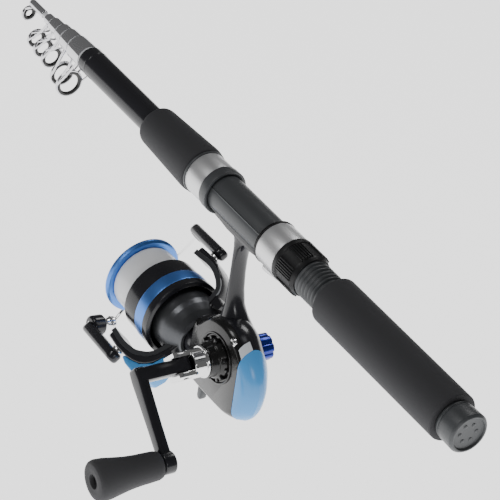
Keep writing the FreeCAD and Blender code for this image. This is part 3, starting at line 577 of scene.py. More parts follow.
@dataclass(frozen=True)
class Layout:
    """Places shared by several groups, in millimetres."""

    seat_front: float = -189.4
    grip_half: float = 55.0
    nut_rear: float = -77.0
    nut_front: float = -96.5
    hood_rear: float = -96.6
    hood_front: float = -113.1
    foot_front: float = -173.0
    foot_rear: float = -107.0
    blank_front: float = -320.2
    fore_front: float = -241.4
    reel_z: float = -98.4
    axle_up: float = 12.4
    axle_back: float = 10.5
    yoke_turn: float = 42.0
    arm_run: Pair = (38.9, -32.5)

    @property
    def reel_x(self) -> float:
        """Middle of the reel's foot along the rod."""
        return (self.foot_front + self.foot_rear) / 2

    def reel(self) -> Matrix:
        """Frame at the foot's middle and the spool axis."""
        return Matrix.Translation((self.reel_x, 0, self.reel_z))

    def yoke(self) -> Matrix:
        """Frame of the rotor, with Y along the bail's pivot line."""
        return self.reel() @ Matrix.Rotation(math.radians(self.yoke_turn), 4, "X")

    def axle(self) -> Matrix:
        """Frame on the crank's axle, square with the row frame."""
        return Matrix.Translation((self.reel_x + self.axle_back, 0, self.reel_z + self.axle_up))

    def crank(self) -> Matrix:
        """Frame on the crank's axle with X along the arm and Z across it.

        Returns:
            The frame in millimetres.
        """
        run = Vector((self.arm_run[0], 0, self.arm_run[1])).normalized()
        across = Vector((-run.z, 0, run.x))
        turn = Matrix((run, Vector((0, 1, 0)), across)).transposed().to_4x4()
        return self.axle() @ turn


PLACES = Layout()
SIDEWAYS = Matrix.Rotation(math.radians(90), 4, "Z")
OUTWARD = Matrix.Rotation(math.radians(-90), 4, "Z")


@dataclass
class Butt:
    """Screw cap and rear grip."""

    cap_radius: float = 12.0
    cap_end: float = 70.0
    grip_radius: float = 14.5
    bore: float = 8.4

    def build(self) -> None:
        """Build the cap and the grip."""
        end = PLACES.grip_half
        r = self.cap_radius
        cap = Forge()
        cap.lathe([(end + 0.1, self.bore), (end + 0.1, r - 1.0), (end + 2.0, r - 0.5), (end + 2.6, r - 1.1),
                   (end + 3.4, r - 0.3), (self.cap_end - 1.4, r), (self.cap_end, r - 1.2),
                   (self.cap_end, r - 2.2), (self.cap_end - 1.4, r - 2.6), (self.cap_end - 1.4, 0.0),
                   (end + 4, 0.0), (end + 4, self.bore)], soft=0.5)
        for i in range(6):
            angle = math.tau * i / 6
            cap.ball((self.cap_end - 1.4, 5.2 * math.cos(angle), 5.2 * math.sin(angle)), (0.5, 1.3, 1.3), 12)
        cap.done("butt_cap_shell", SATIN, "butt_plug", ["butt_cap"])
        grip = Forge()
        rear = self.grip_radius
        grip.lathe([(-end, 8.35), (-end, rear - 0.4), (-end + 0.6, rear), (end - 0.6, rear),
                    (end, rear - 0.4), (end, 8.35)], soft=2.0, steps=96)
        grip.done("rear_grip_foam", FOAM, "rod_butt", ["rear_grip"])


@dataclass
class Seat:
    """Reel seat tube with its thread, hoods and lock nut."""

    radius: float = 11.4
    thread: float = 11.3
    pitch: float = 3.0
    ring: float = 13.3
    rim: float = 13.9
    nut: float = 13.8
    bore: float = 11.45

    def build(self) -> None:
        """Build the fixed and sliding parts of the seat."""
        self._tube()
        self._fixed()
        self._sliding()
        self._nut()

    def _tube(self) -> None:
        """Seat tube with ridges, seams and an interrupted thread."""
        seat = Forge()
        profile = [(PLACES.seat_front, 8.35), (PLACES.seat_front, self.radius)]
        profile.append((PLACES.nut_front + 1, self.radius))
        x = PLACES.nut_front + 1.2
        while x + self.pitch < -PLACES.grip_half:
            profile += [(x, self.thread - 1.1), (x + 0.25 * self.pitch, self.thread),
                        (x + 0.6 * self.pitch, self.thread), (x + 0.85 * self.pitch, self.thread - 1.1)]
            x += self.pitch
        profile += [(-PLACES.grip_half, self.thread - 1.1), (-PLACES.grip_half, 8.35)]
        seat.lathe(profile, soft=0.25, steps=96)
        for side in (-1, 1):
            for up in (-5.6, 5.6):
                depth = math.sqrt(self.radius ** 2 - up ** 2)
                seat.block((PLACES.foot_front + 6, side * depth - 0.35, up - 0.35),
                           (PLACES.hood_front - 2, side * depth + 0.35, up + 0.35), 0.2)
        seat.done("seat_tube", SATIN, "rod_butt", ["reel_seat"])

    def _fixed(self) -> None:
        """Front hood: black rim and silver ring."""
        rim = Forge()
        front = PLACES.foot_front
        rim.lathe([(front, self.radius), (front, self.rim - 0.2), (front + 7, self.rim), (front + 7, 12.2),
                   (front + 6, self.radius)], soft=1.4)
        rim.lathe([(PLACES.seat_front, 11.5), (PLACES.seat_front, 13.9), (PLACES.seat_front + 1.4, 13.9),
                   (PLACES.seat_front + 1.4, 11.5)], soft=0.4)
        rim.done("front_hood_rim", SATIN, "rod_butt", ["fixed_hood_rim"])
        ring = Forge()
        ring.lathe([(PLACES.seat_front + 1.4, self.radius), (PLACES.seat_front + 1.4, self.ring),
                    (front, self.ring), (front, self.radius)], soft=0.35, steps=96)
        ring.done("front_hood_ring", SILVER, "rod_butt", ["fixed_hood_ring"])

    def _sliding(self) -> None:
        """Sliding hood ring, its foot pocket and the dark lip."""
        hood = Forge()
        hood.lathe([(PLACES.hood_front, self.bore), (PLACES.hood_front, self.ring),
                    (PLACES.hood_rear, self.ring), (PLACES.hood_rear, self.bore)], soft=0.35, steps=96)
        hood.prism([(PLACES.hood_front + 0.2, -12.9), (PLACES.hood_rear - 0.8, -12.9),
                    (PLACES.hood_rear - 1.4, -13.6),
                    (PLACES.hood_front + 4, -15.3), (PLACES.hood_front + 0.2, -15.3)], -6.6, 6.6, bevel=0.9)
        hood.done("sliding_hood_ring", SILVER, "hood", ["sliding_hood"])
        lip = Forge()
        front = PLACES.hood_front - 2.4
        lip.lathe([(front, self.bore), (front, 12.9), (front + 0.9, 13.5), (front + 1.1, 12.9),
                   (front + 1.5, 13.6),
                   (PLACES.hood_front, 13.6), (PLACES.hood_front, self.bore)], soft=0.25)
        lip.done("sliding_hood_lip", NUT_BLACK, "hood", ["hood_lip"])

    def _nut(self) -> None:
        """Lock nut: smooth flange, ribs in groups and plain faces."""
        nut = Forge()
        front = PLACES.nut_front
        rear = PLACES.nut_rear
        nut.lathe([(front, self.bore), (front, self.nut - 0.6), (front + 0.5, self.nut),
                   (front + 3.6, self.nut),
                   (front + 4.1, self.nut - 0.8), (rear - 2.6, self.nut - 0.8), (rear, self.nut - 1.9),
                   (rear, self.bore)], soft=0.4, steps=96)
        for group in range(6):
            for step in range(6):
                turn = Matrix.Rotation(math.radians(60 * group + 6.2 * step), 4, "X")
                nut.block((front + 3.9, -0.42, self.nut - 1.3), (rear - 2.4, 0.42, self.nut - 0.05), 0.22,
                          turn)
        nut.done("lock_nut_ribbed", NUT_BLACK, "nut", ["lock_nut"])


@dataclass
class FrontGrip:
    """Fore grip and the blank in front of it."""

    rear_radius: float = 14.6
    front_radius: float = 12.4
    blank_radius: float = 8.35

    def build(self) -> None:
        """Build the grip and the butt tube."""
        rear = PLACES.seat_front
        front = PLACES.fore_front
        grip = Forge()
        grip.lathe([(front, 8.35), (front, self.front_radius - 0.5), (front + 2, self.front_radius),
                    (rear - 4, self.rear_radius), (rear - 0.2, self.rear_radius - 0.4), (rear - 0.2, 8.35)],
                    soft=2.2, steps=96)
        grip.done("fore_grip_foam", FOAM, "rod_butt", ["fore_grip"])
        blank = Forge()
        r = self.blank_radius
        tip = PLACES.blank_front
        blank.lathe([(tip, 7.65), (tip, r - 0.35), (tip + 0.6, r), (tip + 6.5, r), (tip + 6.8, r + 0.12),
                     (tip + 8.0, r + 0.12), (tip + 8.3, r), (58.8, r), (58.8, 7.65)], soft=0.2, steps=96)
        blank.done("butt_tube_lacquered", BLANK, "rod_butt", ["butt_tube"])


@dataclass(frozen=True)
class Stage:
    """One telescoping section and the guide at its front, in millimetres."""

    ahead: float
    radius: float
    collar: float
    ring_ahead: float
    ring_depth: float
    ring: float


@dataclass
class Extensions:
    """The six telescoping sections with their line guides."""

    stages: tuple[Stage, ...] = (
        Stage(15.3, 7.3, 7.8, 18.8, 27.3, 8.1), Stage(25.8, 6.3, 6.8, 27.8, 25.5, 7.3),
        Stage(33.8, 5.3, 5.8, 41.8, 22.0, 6.4), Stage(43.8, 4.1, 4.6, 52.8, 21.5, 5.8),
        Stage(51.3, 3.0, 3.4, 61.3, 19.7, 5.5), Stage(66.8, 1.9, 2.5, 73.8, 8.6, 4.1))
    wall: float = 0.7
    leg: float = 0.8

    def build(self) -> None:
        """Build every section, collar, frame and lining."""
        last = 0.0
        for number, stage in enumerate(self.stages, start=1):
            body = "extension_%d" % number
            tip = number == len(self.stages)
            front = PLACES.blank_front - stage.ahead
            rear = PLACES.grip_half - 7 - 0.5 * number
            self._tube(number, stage, front + (6.0 if tip else 0.0), rear, body, tip)
            collar_rear = PLACES.blank_front - last - 1.6
            self._frame(number, stage, front, collar_rear, body, tip)
            last = stage.ahead

    def _tube(self, number: int, stage: Stage, front: float, rear: float, body: str, tip: bool) -> None:
        """One section with a softly rounded mouth.

        Args:
            number: Which section, counted from the butt.
            stage: Its sizes.
            front: Its tip end along X.
            rear: Its other end along X.
            body: The moving body it rides on.
            tip: Whether it is the last one.
        """
        tube = Forge()
        inner = 0.0 if tip else stage.radius - self.wall
        tube.lathe([(front, inner), (front, stage.radius), (rear, stage.radius), (rear, inner)], soft=0.2,
                   steps=48)
        tube.done("section_tube_%d" % number, PALE, body, ["section_%d" % number])

    def _frame(self, number: int, stage: Stage, front: float, rear: float, body: str, tip: bool) -> None:
        """Collar, legs, hoop and hard lining of one guide.

        Args:
            number: Which section, counted from the butt.
            stage: Its sizes.
            front: The section's tip end along X.
            rear: Rear end of its collar along X.
            body: The moving body it rides on.
            tip: Whether it is the last one.
        """
        frame = Forge()
        start = front + 0.3
        high = stage.collar
        if tip:
            frame.lathe([(front - 5.5, 0.0), (front - 5.5, high - 0.7), (front - 4, high),
                         (front + 11, high),
                         (front + 11.6, stage.radius), (front + 6, stage.radius), (front + 6, 0.0)],
                         soft=0.3, steps=32)
            start = front - 4
        else:
            frame.lathe([(start, stage.radius), (start, high), (rear, high), (rear, stage.radius)], soft=0.3,
                        steps=48)
        centre = Vector((PLACES.blank_front - stage.ring_ahead, 0, -stage.ring_depth))
        place = Matrix.Translation(centre)
        r = stage.ring
        frame.lathe([(-0.9, r - 0.05), (-0.9, r + 0.9), (0.9, r + 0.9), (0.9, r - 0.05)], place, 48, 0.5)
        for side in (-1, 1):
            top = centre + Vector((0.3, side * (r + 0.4) * 0.64, (r + 0.4) * 0.77))
            frame.pipe([(start + 2.6, side * high * 0.55, -high * 0.62),
                        (start + 1.0, side * (high * 0.6 + 0.5), (-high + top.z) / 2 + 1.5), tuple(top)],
                        self.leg, 8)
            if not tip:
                low = centre + Vector((0.3, side * (r + 0.4), 0))
                frame.pipe([(rear - 1.4, side * high * 0.85, -high * 0.35),
                            ((rear + low.x) / 2 + 1.0, side * (high + 1.6), low.z * 0.55), tuple(low)],
                            self.leg * 0.85, 8)
        frame.done("guide_frame_wire_%d" % number, GUIDE, body, ["guide_frame_%d" % number])
        lining = Forge()
        lining.lathe([(-1.2, r - 1.3), (-1.2, r - 0.1), (1.2, r - 0.1), (1.2, r - 1.3), (0.5, r - 2.0),
                      (-0.5, r - 2.0)], place, 48, 0.45)
        nodes = [] if tip else ["guide_ring_%d" % number]
        lining.done("guide_lining_%d" % number, LINING_AND_SHADE, body, nodes)


@dataclass
class GearCase:
    """The reel's body: case, stem, foot, covers, trim and small parts."""

    outline: tuple[Pair, ...] = (
        (-20, 17.6), (-15, 22.0), (-10, 27.2), (-4, 32.2), (3, 35.8), (11, 37.2), (19, 36.4), (26, 33.4),
        (32, 28.9), (38, 23.2), (43, 15.6), (45.5, 6.4), (44.8, -2.0), (42.2, -9.4), (37, -15.6),
        (29, -18.6), (19, -19.3), (7, -19.4), (-5, -19.2), (-14, -18.6), (-20, -17.6))
    levels: tuple[Triple, ...] = (
        (-13.0, 0.845, 0.88), (-12.2, 0.895, 0.90), (-10.6, 0.935, 0.925), (-8.5, 0.965, 0.955),
        (-5.0, 0.99, 0.99),
        (-2.0, 0.99, 0.98), (0.5, 0.97, 0.955), (3.0, 0.93, 0.91), (6.0, 0.83, 0.87), (8.5, 0.68, 0.85),
        (9.8, 0.57, 0.85), (10.4, 0.50, 0.85))
    middle: Pair = (10.5, 8.4)

    def build(self) -> None:
        """Build every fixed piece of the reel's body."""
        self._housing()
        self._side_cover()
        self._rear_cover()
        self._screw()
        self._lever()

    def _shell(self, forge: Forge, grow: float, low: float, high: float) -> None:
        """Add the case's smooth outside, grown or shrunk, between two Y values.

        Args:
            forge: The mesh to add to.
            grow: How far it stands out from the outline, less than 0 for inwards.
            low: Start along Y.
            high: End along Y.
        """
        ring = smooth_outline(self.outline)
        rings = []
        for y, scale, rear in self.levels:
            loop = []
            for x, z in ring:
                across = x - self.middle[0]
                across *= rear if across > 0 else 1.0
                up = z - self.middle[1]
                part = scale * (1 + grow / math.hypot(across, up))
                loop.append((self.middle[0] + across * part, y + math.copysign(grow, y) * abs(y) / 13,
                             self.middle[1] + up * part))
            rings.append(loop)
        forge.loft(rings)
        forge.flat((0, low, 0), (0, -1, 0))
        forge.flat((0, high, 0), (0, 1, 0))

    def _housing(self) -> None:
        """Main housing with neck, stem, foot and the far boss."""
        case = Forge(PLACES.reel())
        self._shell(case, -0.25, -9.0, 20.0)
        case.flat((31.9, 0, 8), (1, 0, 0.054))
        case.lathe([(-30, 9.0), (-30, 10.4), (-29, 11.2), (-4, 11.2), (-4, 9.0)], soft=0.5)
        case.lathe([(7.9, 7.1), (7.9, 9.6), (11.0, 9.5), (11.8, 8.7), (11.8, 3.8), (10.7, 3.8)],
                   Matrix.Translation((PLACES.axle_back, 0, PLACES.axle_up)) @ SIDEWAYS, 64, 0.4)
        for x in (-18.4, -10.6):
            case.prism([(x, -17), (x + 1.8, -17), (x + 1.8, -24.4), (x, -24.4)], -2.5, 2.5, bevel=0.5)
        case.bar((-18.6, 0, -23), (-8.6, 0, -23), 1.25)
        self._stem(case)
        case.done("gear_housing", GLOSS, "rod_butt", ["gear_case"])

    def _stem(self, case: Forge) -> None:
        """Curved stem and the foot under the hoods.

        Args:
            case: The mesh to add to.
        """
        drop = -PLACES.reel_z
        rings = []
        sections = ((-12.6, -0.5, 12.0, 5.2), (-14.2, -1.0, 9.0, 5.2), (-17, -1.8, 5.4, 5.2),
                    (-22, -2.0, 3.4, 5.1),
                    (-30, -1.9, 2.9, 5.0), (-38, -1.4, 3.0, 5.0), (-48, -0.4, 3.9, 5.2),
                    (-57, 1.0, 5.2, 5.9),
                    (-63, 3.0, 8.0, 7.2), (-69, 6.0, 12.0, 9.5), (-76, 8.0, 15.0, 11.0))
        for z, x, deep, wide in sections:
            ring = []
            for i in range(32):
                angle = math.tau * i / 32
                ring.append((x + deep * math.cos(angle), wide * math.sin(angle), z + drop))
            rings.append(ring)
        case.loft(rings)
        thin = drop - 12.2
        case.prism([(-33, thin + 2.2), (33, thin + 2.2), (33, thin + 0.2), (20, thin - 0.9),
                    (12, thin - 2.0),
                    (-12, thin - 2.0), (-20, thin - 0.9), (-33, thin + 0.2)], -5.5, 5.5, bevel=0.6)

    def _side_cover(self) -> None:
        """Near cover with its embossed boss round the crank."""
        cover = Forge(PLACES.reel())
        self._shell(cover, 0.1, -14.0, -9.25)
        cover.flat((31.6, 0, 8), (1, 0, 0.054))
        boss = Matrix.Translation((PLACES.axle_back, 0, PLACES.axle_up)) @ OUTWARD
        cover.lathe([(12.6, 14.2), (12.6, 15.6), (13.9, 15.5), (14.1, 14.6), (13.3, 13.9)], boss, 80, 0.3)
        cover.lathe([(12.6, 4.0), (12.6, 12.6), (14.0, 12.2), (17.0, 10.9), (17.4, 10.2), (21.6, 9.4),
                     (22.3, 8.6), (22.3, 4.0)], boss, 80, 0.4)
        for turn in range(0, 360, 30):
            spoke = boss @ Matrix.Rotation(math.radians(turn), 4, "X")
            cover.block((13.0, -1.1, 9.8), (15.2 if turn % 60 else 16.6, 1.1, 13.4), 0.5, spoke)
        cover.done("side_cover_embossed", COVER, "rod_butt", ["side_cover"])

    def _rear_cover(self) -> None:
        """Blue rear cover and the pearl strip above it."""
        rear = Forge(PLACES.reel())
        self._shell(rear, 0.35, -14.0, 15.0)
        rear.flat((32.2, 0, 8), (-1, 0, -0.054))
        rear.done("rear_cover_blue", SKY, "rod_butt", ["rear_cover"])
        strip = Forge(PLACES.reel())
        self._shell(strip, 0.3, -11.5, -4.5)
        strip.flat((27.0, 0, 30), (-1, 0, -0.1))
        strip.flat((31.2, 0, 30), (1, 0, 0.054))
        strip.flat((29, 0, 20), (0, 0, -1))
        strip.done("pearl_trim", PEARL, "rod_butt", ["trim_strip"])

    def _screw(self) -> None:
        """Cross-head screw that holds the near cover, its cross recess drawn as near-black bars of painted
        shade.
        """
        place = Matrix.Translation((22.3, 0, 31.0))
        screw = Forge(PLACES.reel())
        screw.lathe([(5.2, 0.0), (5.2, 1.15), (11.4, 1.15), (11.4, 2.4), (12.9, 2.4), (13.5, 1.6),
                     (13.5, 0.0)], place @ OUTWARD, 32, 0.2)
        screw.done("cover_screw_head", CHROME, "rod_butt", ["cover_screw"])
        # Painted shade: near-black bars on the chrome head stand in for the dark of the cross recess.
        cross = Forge(PLACES.reel())
        for turn in (20, 110):
            spin = place @ Matrix.Rotation(math.radians(turn), 4, "Y")
            cross.block((-1.5, -13.62, -0.3), (1.5, -13.3, 0.3), 0.0, spin)
        cross.done("cover_screw_cross_painted_shade", LINING_AND_SHADE, "rod_butt")

    def _lever(self) -> None:
        """Anti-reverse lever under the neck."""
        lever = Forge(PLACES.reel())
        lever.lathe([(-16.3, 1.3), (-16.3, 2.6), (-10.9, 2.6), (-10.9, 1.3)],
                    Matrix.Translation((0, 0, -23)), 32, 0.3)
        lever.prism([(-15.8, -24.6), (-11.4, -24.6), (-11.2, -30), (-11.4, -34.4), (-12.4, -36.4),
                     (-14.8, -36.4), (-15.8, -34.4), (-16.0, -30)], -2.2, 2.2, bevel=0.9)
        lever.done("reverse_lever_blade", SATIN, "reverse_lever", ["anti_reverse_lever"])


@dataclass
class Spool:
    """Spool, wound line and the drag in front of it."""

    skirt: float = 24.5
    lip: float = 24.9
    arbor: float = 13.0
    line: float = 21.0

    def build(self) -> None:
        """Build the spool group and the drag knob."""
        body = Forge(PLACES.reel())
        a = self.arbor
        s = self.skirt
        body.lathe([(-90, a), (-90, a - 2), (-84, a - 2), (-84, 1.75), (-66, 1.75), (-66, 5), (-80, 5),
                    (-80, a - 2),
                    (-69.5, a - 2), (-68, a - 0.5), (-68, s - 2), (-43.5, s - 2), (-43.3, s - 1.2),
                    (-44.2, s + 0.8), (-49, s + 0.8), (-49, s - 0.8), (-58, s - 0.8), (-58, s), (-70, s),
                    (-71, s - 0.8), (-71, a)], soft=0.25, steps=96)
        body.done("spool_black", GLOSS, "spool_group", ["spool"])
        rim = Forge(PLACES.reel())
        rim.lathe([(-93, a - 2), (-93, self.lip - 1.2), (-92.2, self.lip), (-90.9, self.lip),
                   (-89.8, self.lip - 1.5), (-89.8, a - 2)], soft=0.35, steps=96)
        rim.done("spool_lip_blue", BLUE, "spool_group", ["spool_lip"])
        wound = Forge(PLACES.reel())
        wound.lathe([(-89.8, a), (-89.8, self.line - 0.6), (-88, self.line), (-73, self.line),
                     (-71, self.line - 0.6), (-71, a)], soft=0.8, steps=96)
        wound.done("line_wound", LINE, "spool_group", ["line_winding"])
        self._band()
        self._drag()

    def _band(self) -> None:
        """Blue band with pairs of windows in bright frames, each window filled by a dark sheet of painted
        shade.
        """
        s = self.skirt
        band = Forge(PLACES.reel())
        band.lathe([(-58, s - 0.8), (-58, s + 0.3), (-57.4, s + 0.6), (-49.6, s + 0.6), (-49, s + 0.3),
                    (-49, s - 0.8)], soft=0.2, steps=96)
        band.done("spool_band_blue", BLUE, "spool_group", ["spool_band"])
        frames = Forge(PLACES.reel())
        # The windows are holes; the near-black sheets inside them are painted shade.
        window_shade = Forge(PLACES.reel())
        for pair in range(6):
            for side in (-1, 1):
                turn = Matrix.Rotation(math.radians(60 * pair + 15 + side * 7.5), 4, "X")
                lift = Matrix.Translation((0, 0, s)) @ Matrix.Rotation(math.radians(-90), 4, "X")
                wide = 2.7
                lean = 0.7 * side
                outer = [(-57.0, -wide + lean), (-50.2, -wide), (-50.2, wide), (-57.0, wide + lean)]
                inner = [(-56.5, -wide + 0.5 + lean), (-50.7, -wide + 0.5), (-50.7, wide - 0.5),
                         (-56.5, wide - 0.5 + lean)]
                frames.prism(outer, -0.2, 0.72, turn @ lift, 0.3, 2)
                window_shade.prism(inner, -0.1, 0.82, turn @ lift, 0.2, 2)
        frames.done("spool_window_frames", CHROME, "spool_group")
        window_shade.done("spool_window_painted_shade", LINING_AND_SHADE, "spool_group")

    def _drag(self) -> None:
        """Fluted drag knob with a smooth cap."""
        knob = Forge(PLACES.reel())
        knob.lathe([(-101, 0.0), (-101, 8.6), (-99.5, 11.2), (-94.5, 12.2), (-93.6, 11.8), (-93.6, 8.5),
                    (-88.2, 8.5), (-88.2, 1.75), (-98, 1.75), (-98, 0.0)], soft=0.6)
        for i in range(10):
            turn = Matrix.Rotation(math.tau * i / 10, 4, "X")
            knob.block((-100, -1.3, 10.4), (-93.9, 1.3, 12.9), 0.7, turn)
        knob.done("drag_knob_fluted", SATIN, "drag_cap", ["drag_knob"])


@dataclass
class Rotor:
    """Rotor cup, its two arms, a band of painted sheen on the arms and the arm cover.

    The band of painted sheen lies at height face on the arms. Over the drum's back, of radius back, it
    climbs and leans rearwards, by lean for each millimetre of climb, and is band wide. It and the drum
    are a lighter grey metal than the black gloss rotor, as painted sheen.
    """

    drum: float = 20.0
    face: float = 7.75
    back: float = 14.5
    lean: float = 0.88
    band: float = 3.1
    inner: tuple[Pair, ...] = (
        (-69, -32.2), (-64, -32.9), (-59, -33.5), (-54, -33.5), (-49.6, -33), (-45.6, -32.3), (-42.7, -31),
        (-39.9, -29.4), (-37.8, -28), (-35.2, -25), (-33.5, -21.6), (-31.9, -17), (-31.1, -12.6),
        (-30.5, -7),
        (-30.5, -2.4), (-31.4, 3), (-32.8, 8.5), (-34, 13), (-35.3, 17.3), (-35.8, 21.4), (-37.0, 25.4),
        (-40.6, 28.4), (-44.3, 30.0), (-48.2, 31.3), (-52.3, 32.0), (-57, 32.0), (-62, 31.5), (-69, 30.8))
    outer: tuple[Pair, ...] = (
        (-69, 37.0), (-62, 37.4), (-56.6, 37.0), (-50.5, 36.2), (-45, 34.6), (-41.5, 32.9), (-38.5, 30.6),
        (-36, 28.2), (-33.8, 25.4), (-31.6, 21.8), (-29.9, 17.5), (-28, 12.8), (-26.4, 8.0), (-25.4, 3),
        (-25.1, -2.3), (-25.2, -8), (-25.6, -13.8), (-26.4, -18.5), (-27.5, -22.8), (-28.7, -26.8),
        (-30.4, -30.4), (-33.4, -33.8), (-37, -36.4), (-42, -38.2), (-47, -39.2), (-58, -39.6), (-69, -38.4))

    def build(self) -> None:
        """Build the rotor's pieces."""
        # Painted sheen: the drum is a lighter grey metal than the black gloss rotor it belongs to.
        drum = Forge(PLACES.reel())
        drum.lathe([(-51, 17.8), (-51, self.drum), (-36.4, self.drum), (-33, 19.2), (-28.6, 17.0),
                    (-24.8, self.back),
                    (-24.2, 13.6), (-24.2, 11.6), (-31.8, 11.6), (-34.4, 17.8)], soft=0.3, steps=96)
        drum.done("rotor_drum", PAINTED_SHEEN_GREY, "rotor_group")
        base = Forge(PLACES.yoke())
        base.lathe([(-34.0, 19.0), (-34.0, 19.8), (-33, 23.4), (-31.5, 24.4), (-24, 22.4), (-24, 19.7)],
                   soft=0.5, steps=96)
        base.flat((0, 0, 7.4), (0, 0, 1))
        base.lathe([(-36, 3.05), (-36, 17.7), (-34.3, 17.7), (-31.9, 11.7), (-31.9, 3.05)], soft=0.2,
                   steps=96)
        up = Matrix.Rotation(math.radians(-90), 4, "X")
        base.prism(list(self.inner) + list(self.outer), -7.2, 7.4, up, 1.1)
        base.done("rotor_yoke", GLOSS, "rotor_group", ["rotor"])
        # Painted sheen: a lighter grey band along the black gloss arms' inner edge.
        edge = Forge(PLACES.yoke())
        edge.loft(self._edge_rings())
        edge.done("rotor_edge_painted_sheen", PAINTED_SHEEN_GREY, "rotor_group")
        cover = Forge(PLACES.yoke())
        cover.prism([(-27.5, -22.8), (-24.5, -24), (-23.0, -33), (-25.0, -39.4), (-31, -43.0), (-45, -42.6),
                     (-50, -41.2), (-50, -39.4), (-45, -38.9), (-37, -36.4), (-30, -30.4)], -6.4, 6.4, up,
                     1.4)
        cover.done("rotor_arm_cover_blue", SKY, "rotor_group", ["rotor_arm_cover"])

    def _edge_rings(self) -> list[list[Triple]]:
        """Sections of the painted sheen band on the arms, which climbs over the drum's back at its middle.

        Returns:
            Corners of each section, from one arm to the other.
        """
        inner = [(p.x, p.z) for p in through([(x, 0.0, y) for x, y in self.inner], 3)]
        low = self.face - 1.3
        rings = []
        for i, (x, y) in enumerate(inner):
            before = Vector(inner[max(0, i - 1)])
            after = Vector(inner[min(len(inner) - 1, i + 1)])
            along = (after - before).normalized()
            wide = (x + along.y * self.band, y - along.x * self.band)
            rings.append([self._lifted(x, y), self._lifted(*wide), (*wide, low), (x, y, low)])
        return rings

    def _lifted(self, x: float, y: float) -> Triple:
        """A point of the painted sheen band, raised to clear the drum's back."""
        rise = max(0.0, math.sqrt(max(0.0, self.back ** 2 - y ** 2)) - self.face)
        return (x + self.lean * rise, y, self.face + rise)


@dataclass
class Bail:
    """Bail arms, wire, roller and their screws."""

    pivot: float = -61.0
    elbow: Pair = (-96.0, -11.0)
    lever: Pair = (-97.0, -14.4)
    screw: Triple = (-99.0, -44.15, -8.54)
    along: Triple = (0.02, 0.686, -0.728)

    def build(self) -> None:
        """Build the flipping bail."""
        self._arms()
        self._details()
        self._roller()
        self._wire()

    def _axis(self) -> Matrix:
        """Frame at the roller screw's face, with X along the roller's axis.

        Returns:
            The frame in millimetres.
        """
        along = Vector(self.along).normalized()
        turn = along.to_track_quat("X", "Z").to_matrix().to_4x4()
        return Matrix.Translation(self.screw) @ turn

    def _arms(self) -> None:
        """The arm that ends in the roller's housing, and the one opposite."""
        left = Forge(PLACES.yoke())
        left.prism(paddle((self.pivot, 0.0), self.elbow, 4.4, 6.2), -48.4, -41.3, bevel=2.4, segments=5)
        left.lathe([(0.6, 0.0), (0.6, 4.9), (1.6, 6.0), (3.0, 6.2), (8.6, 6.2), (9.5, 5.2), (9.6, 0.0)],
                   self._axis(), 64, 0.7)
        left.lathe([(9.0, 0.0), (9.0, 1.7), (16.2, 1.7), (16.2, 0.0)], self._axis(), 24)
        left.bar((self.pivot, -41.8, 0), (self.pivot, -35.5, 0), 2.5)
        left.done("bail_arm_left", GLOSS, "bail", ["bail_arm"])
        right = Forge(PLACES.yoke())
        right.prism(paddle((self.pivot, 0.0), self.lever, 4.4, 6.3), 38.8, 45.4, bevel=2.4, segments=5)
        right.bar((self.pivot, 39.2, 0), (self.pivot, 33.8, 0), 2.5)
        right.done("bail_arm_right", GLOSS, "bail", ["bail_lever"])
        dimple = Forge(PLACES.yoke())
        x, z = self.lever
        dimple.ball((x + 0.4, 38.9, z + 0.2), (4.2, 0.7, 4.2), 32)
        dimple.done("bail_arm_dimple", LINING_AND_SHADE, "bail")

    def _details(self) -> None:
        """Collars on the pivots and the screw that holds the roller, its cross recess drawn as near-black
        bars of painted shade.
        """
        rings = Forge(PLACES.yoke())
        for low, high in ((-41.6, -39.9), (37.5, 39.0)):
            rings.lathe([(low, 2.5), (low, 4.0), (high, 4.0), (high, 2.5)],
                        Matrix.Translation((self.pivot, 0, 0)) @ SIDEWAYS, 40, 0.2)
        rings.done("bail_collars", CHROME, "bail")
        head = Forge(PLACES.yoke())
        head.lathe([(0.0, 0.0), (0.0, 2.2), (0.5, 3.0), (1.0, 3.0), (1.0, 0.0)], self._axis(), 40, 0.15)
        head.done("roller_screw_head", CHROME, "bail")
        # Painted shade: near-black bars on the chrome head stand in for the dark of the cross recess.
        cross = Forge(PLACES.yoke())
        for turn in (25, 115):
            spin = self._axis() @ Matrix.Rotation(math.radians(turn), 4, "X")
            cross.block((-0.12, -1.8, -0.36), (0.12, 1.8, 0.36), 0.0, spin)
        cross.done("roller_screw_cross_painted_shade", LINING_AND_SHADE, "bail")

    def _roller(self) -> None:
        """Waisted line roller."""
        roller = Forge(PLACES.yoke())
        roller.lathe([(9.8, 1.8), (9.8, 4.6), (11.4, 3.7), (13.4, 3.7), (14.8, 4.6), (14.8, 1.8)],
                     self._axis(), 48, 0.4)
        roller.done("line_roller_polished", CHROME, "roller", ["line_roller"])

    def _wire(self) -> None:
        """Polished wire from the roller's cap round to the other arm."""
        wire = Forge(PLACES.yoke())
        wire.lathe([(15.1, 1.75), (15.1, 4.2), (16.9, 4.2), (17.3, 3.4), (17.3, 0.0), (16.2, 0.0),
                    (16.2, 1.75)], self._axis(), 40, 0.4)
        start = self._axis() @ Vector((16.8, 0, 0))
        wire.pipe([tuple(start), (-103, -31.5, -25), (-109, -23, -30), (-113, -8, -33), (-113, 9, -33),
                   (-109, 24, -28.5), (-103, 34.5, -21.5), (-98.4, 39.8, -15.5)], 0.9, 16)
        wire.done("bail_wire_polished", CHROME, "bail", ["bail_wire"])


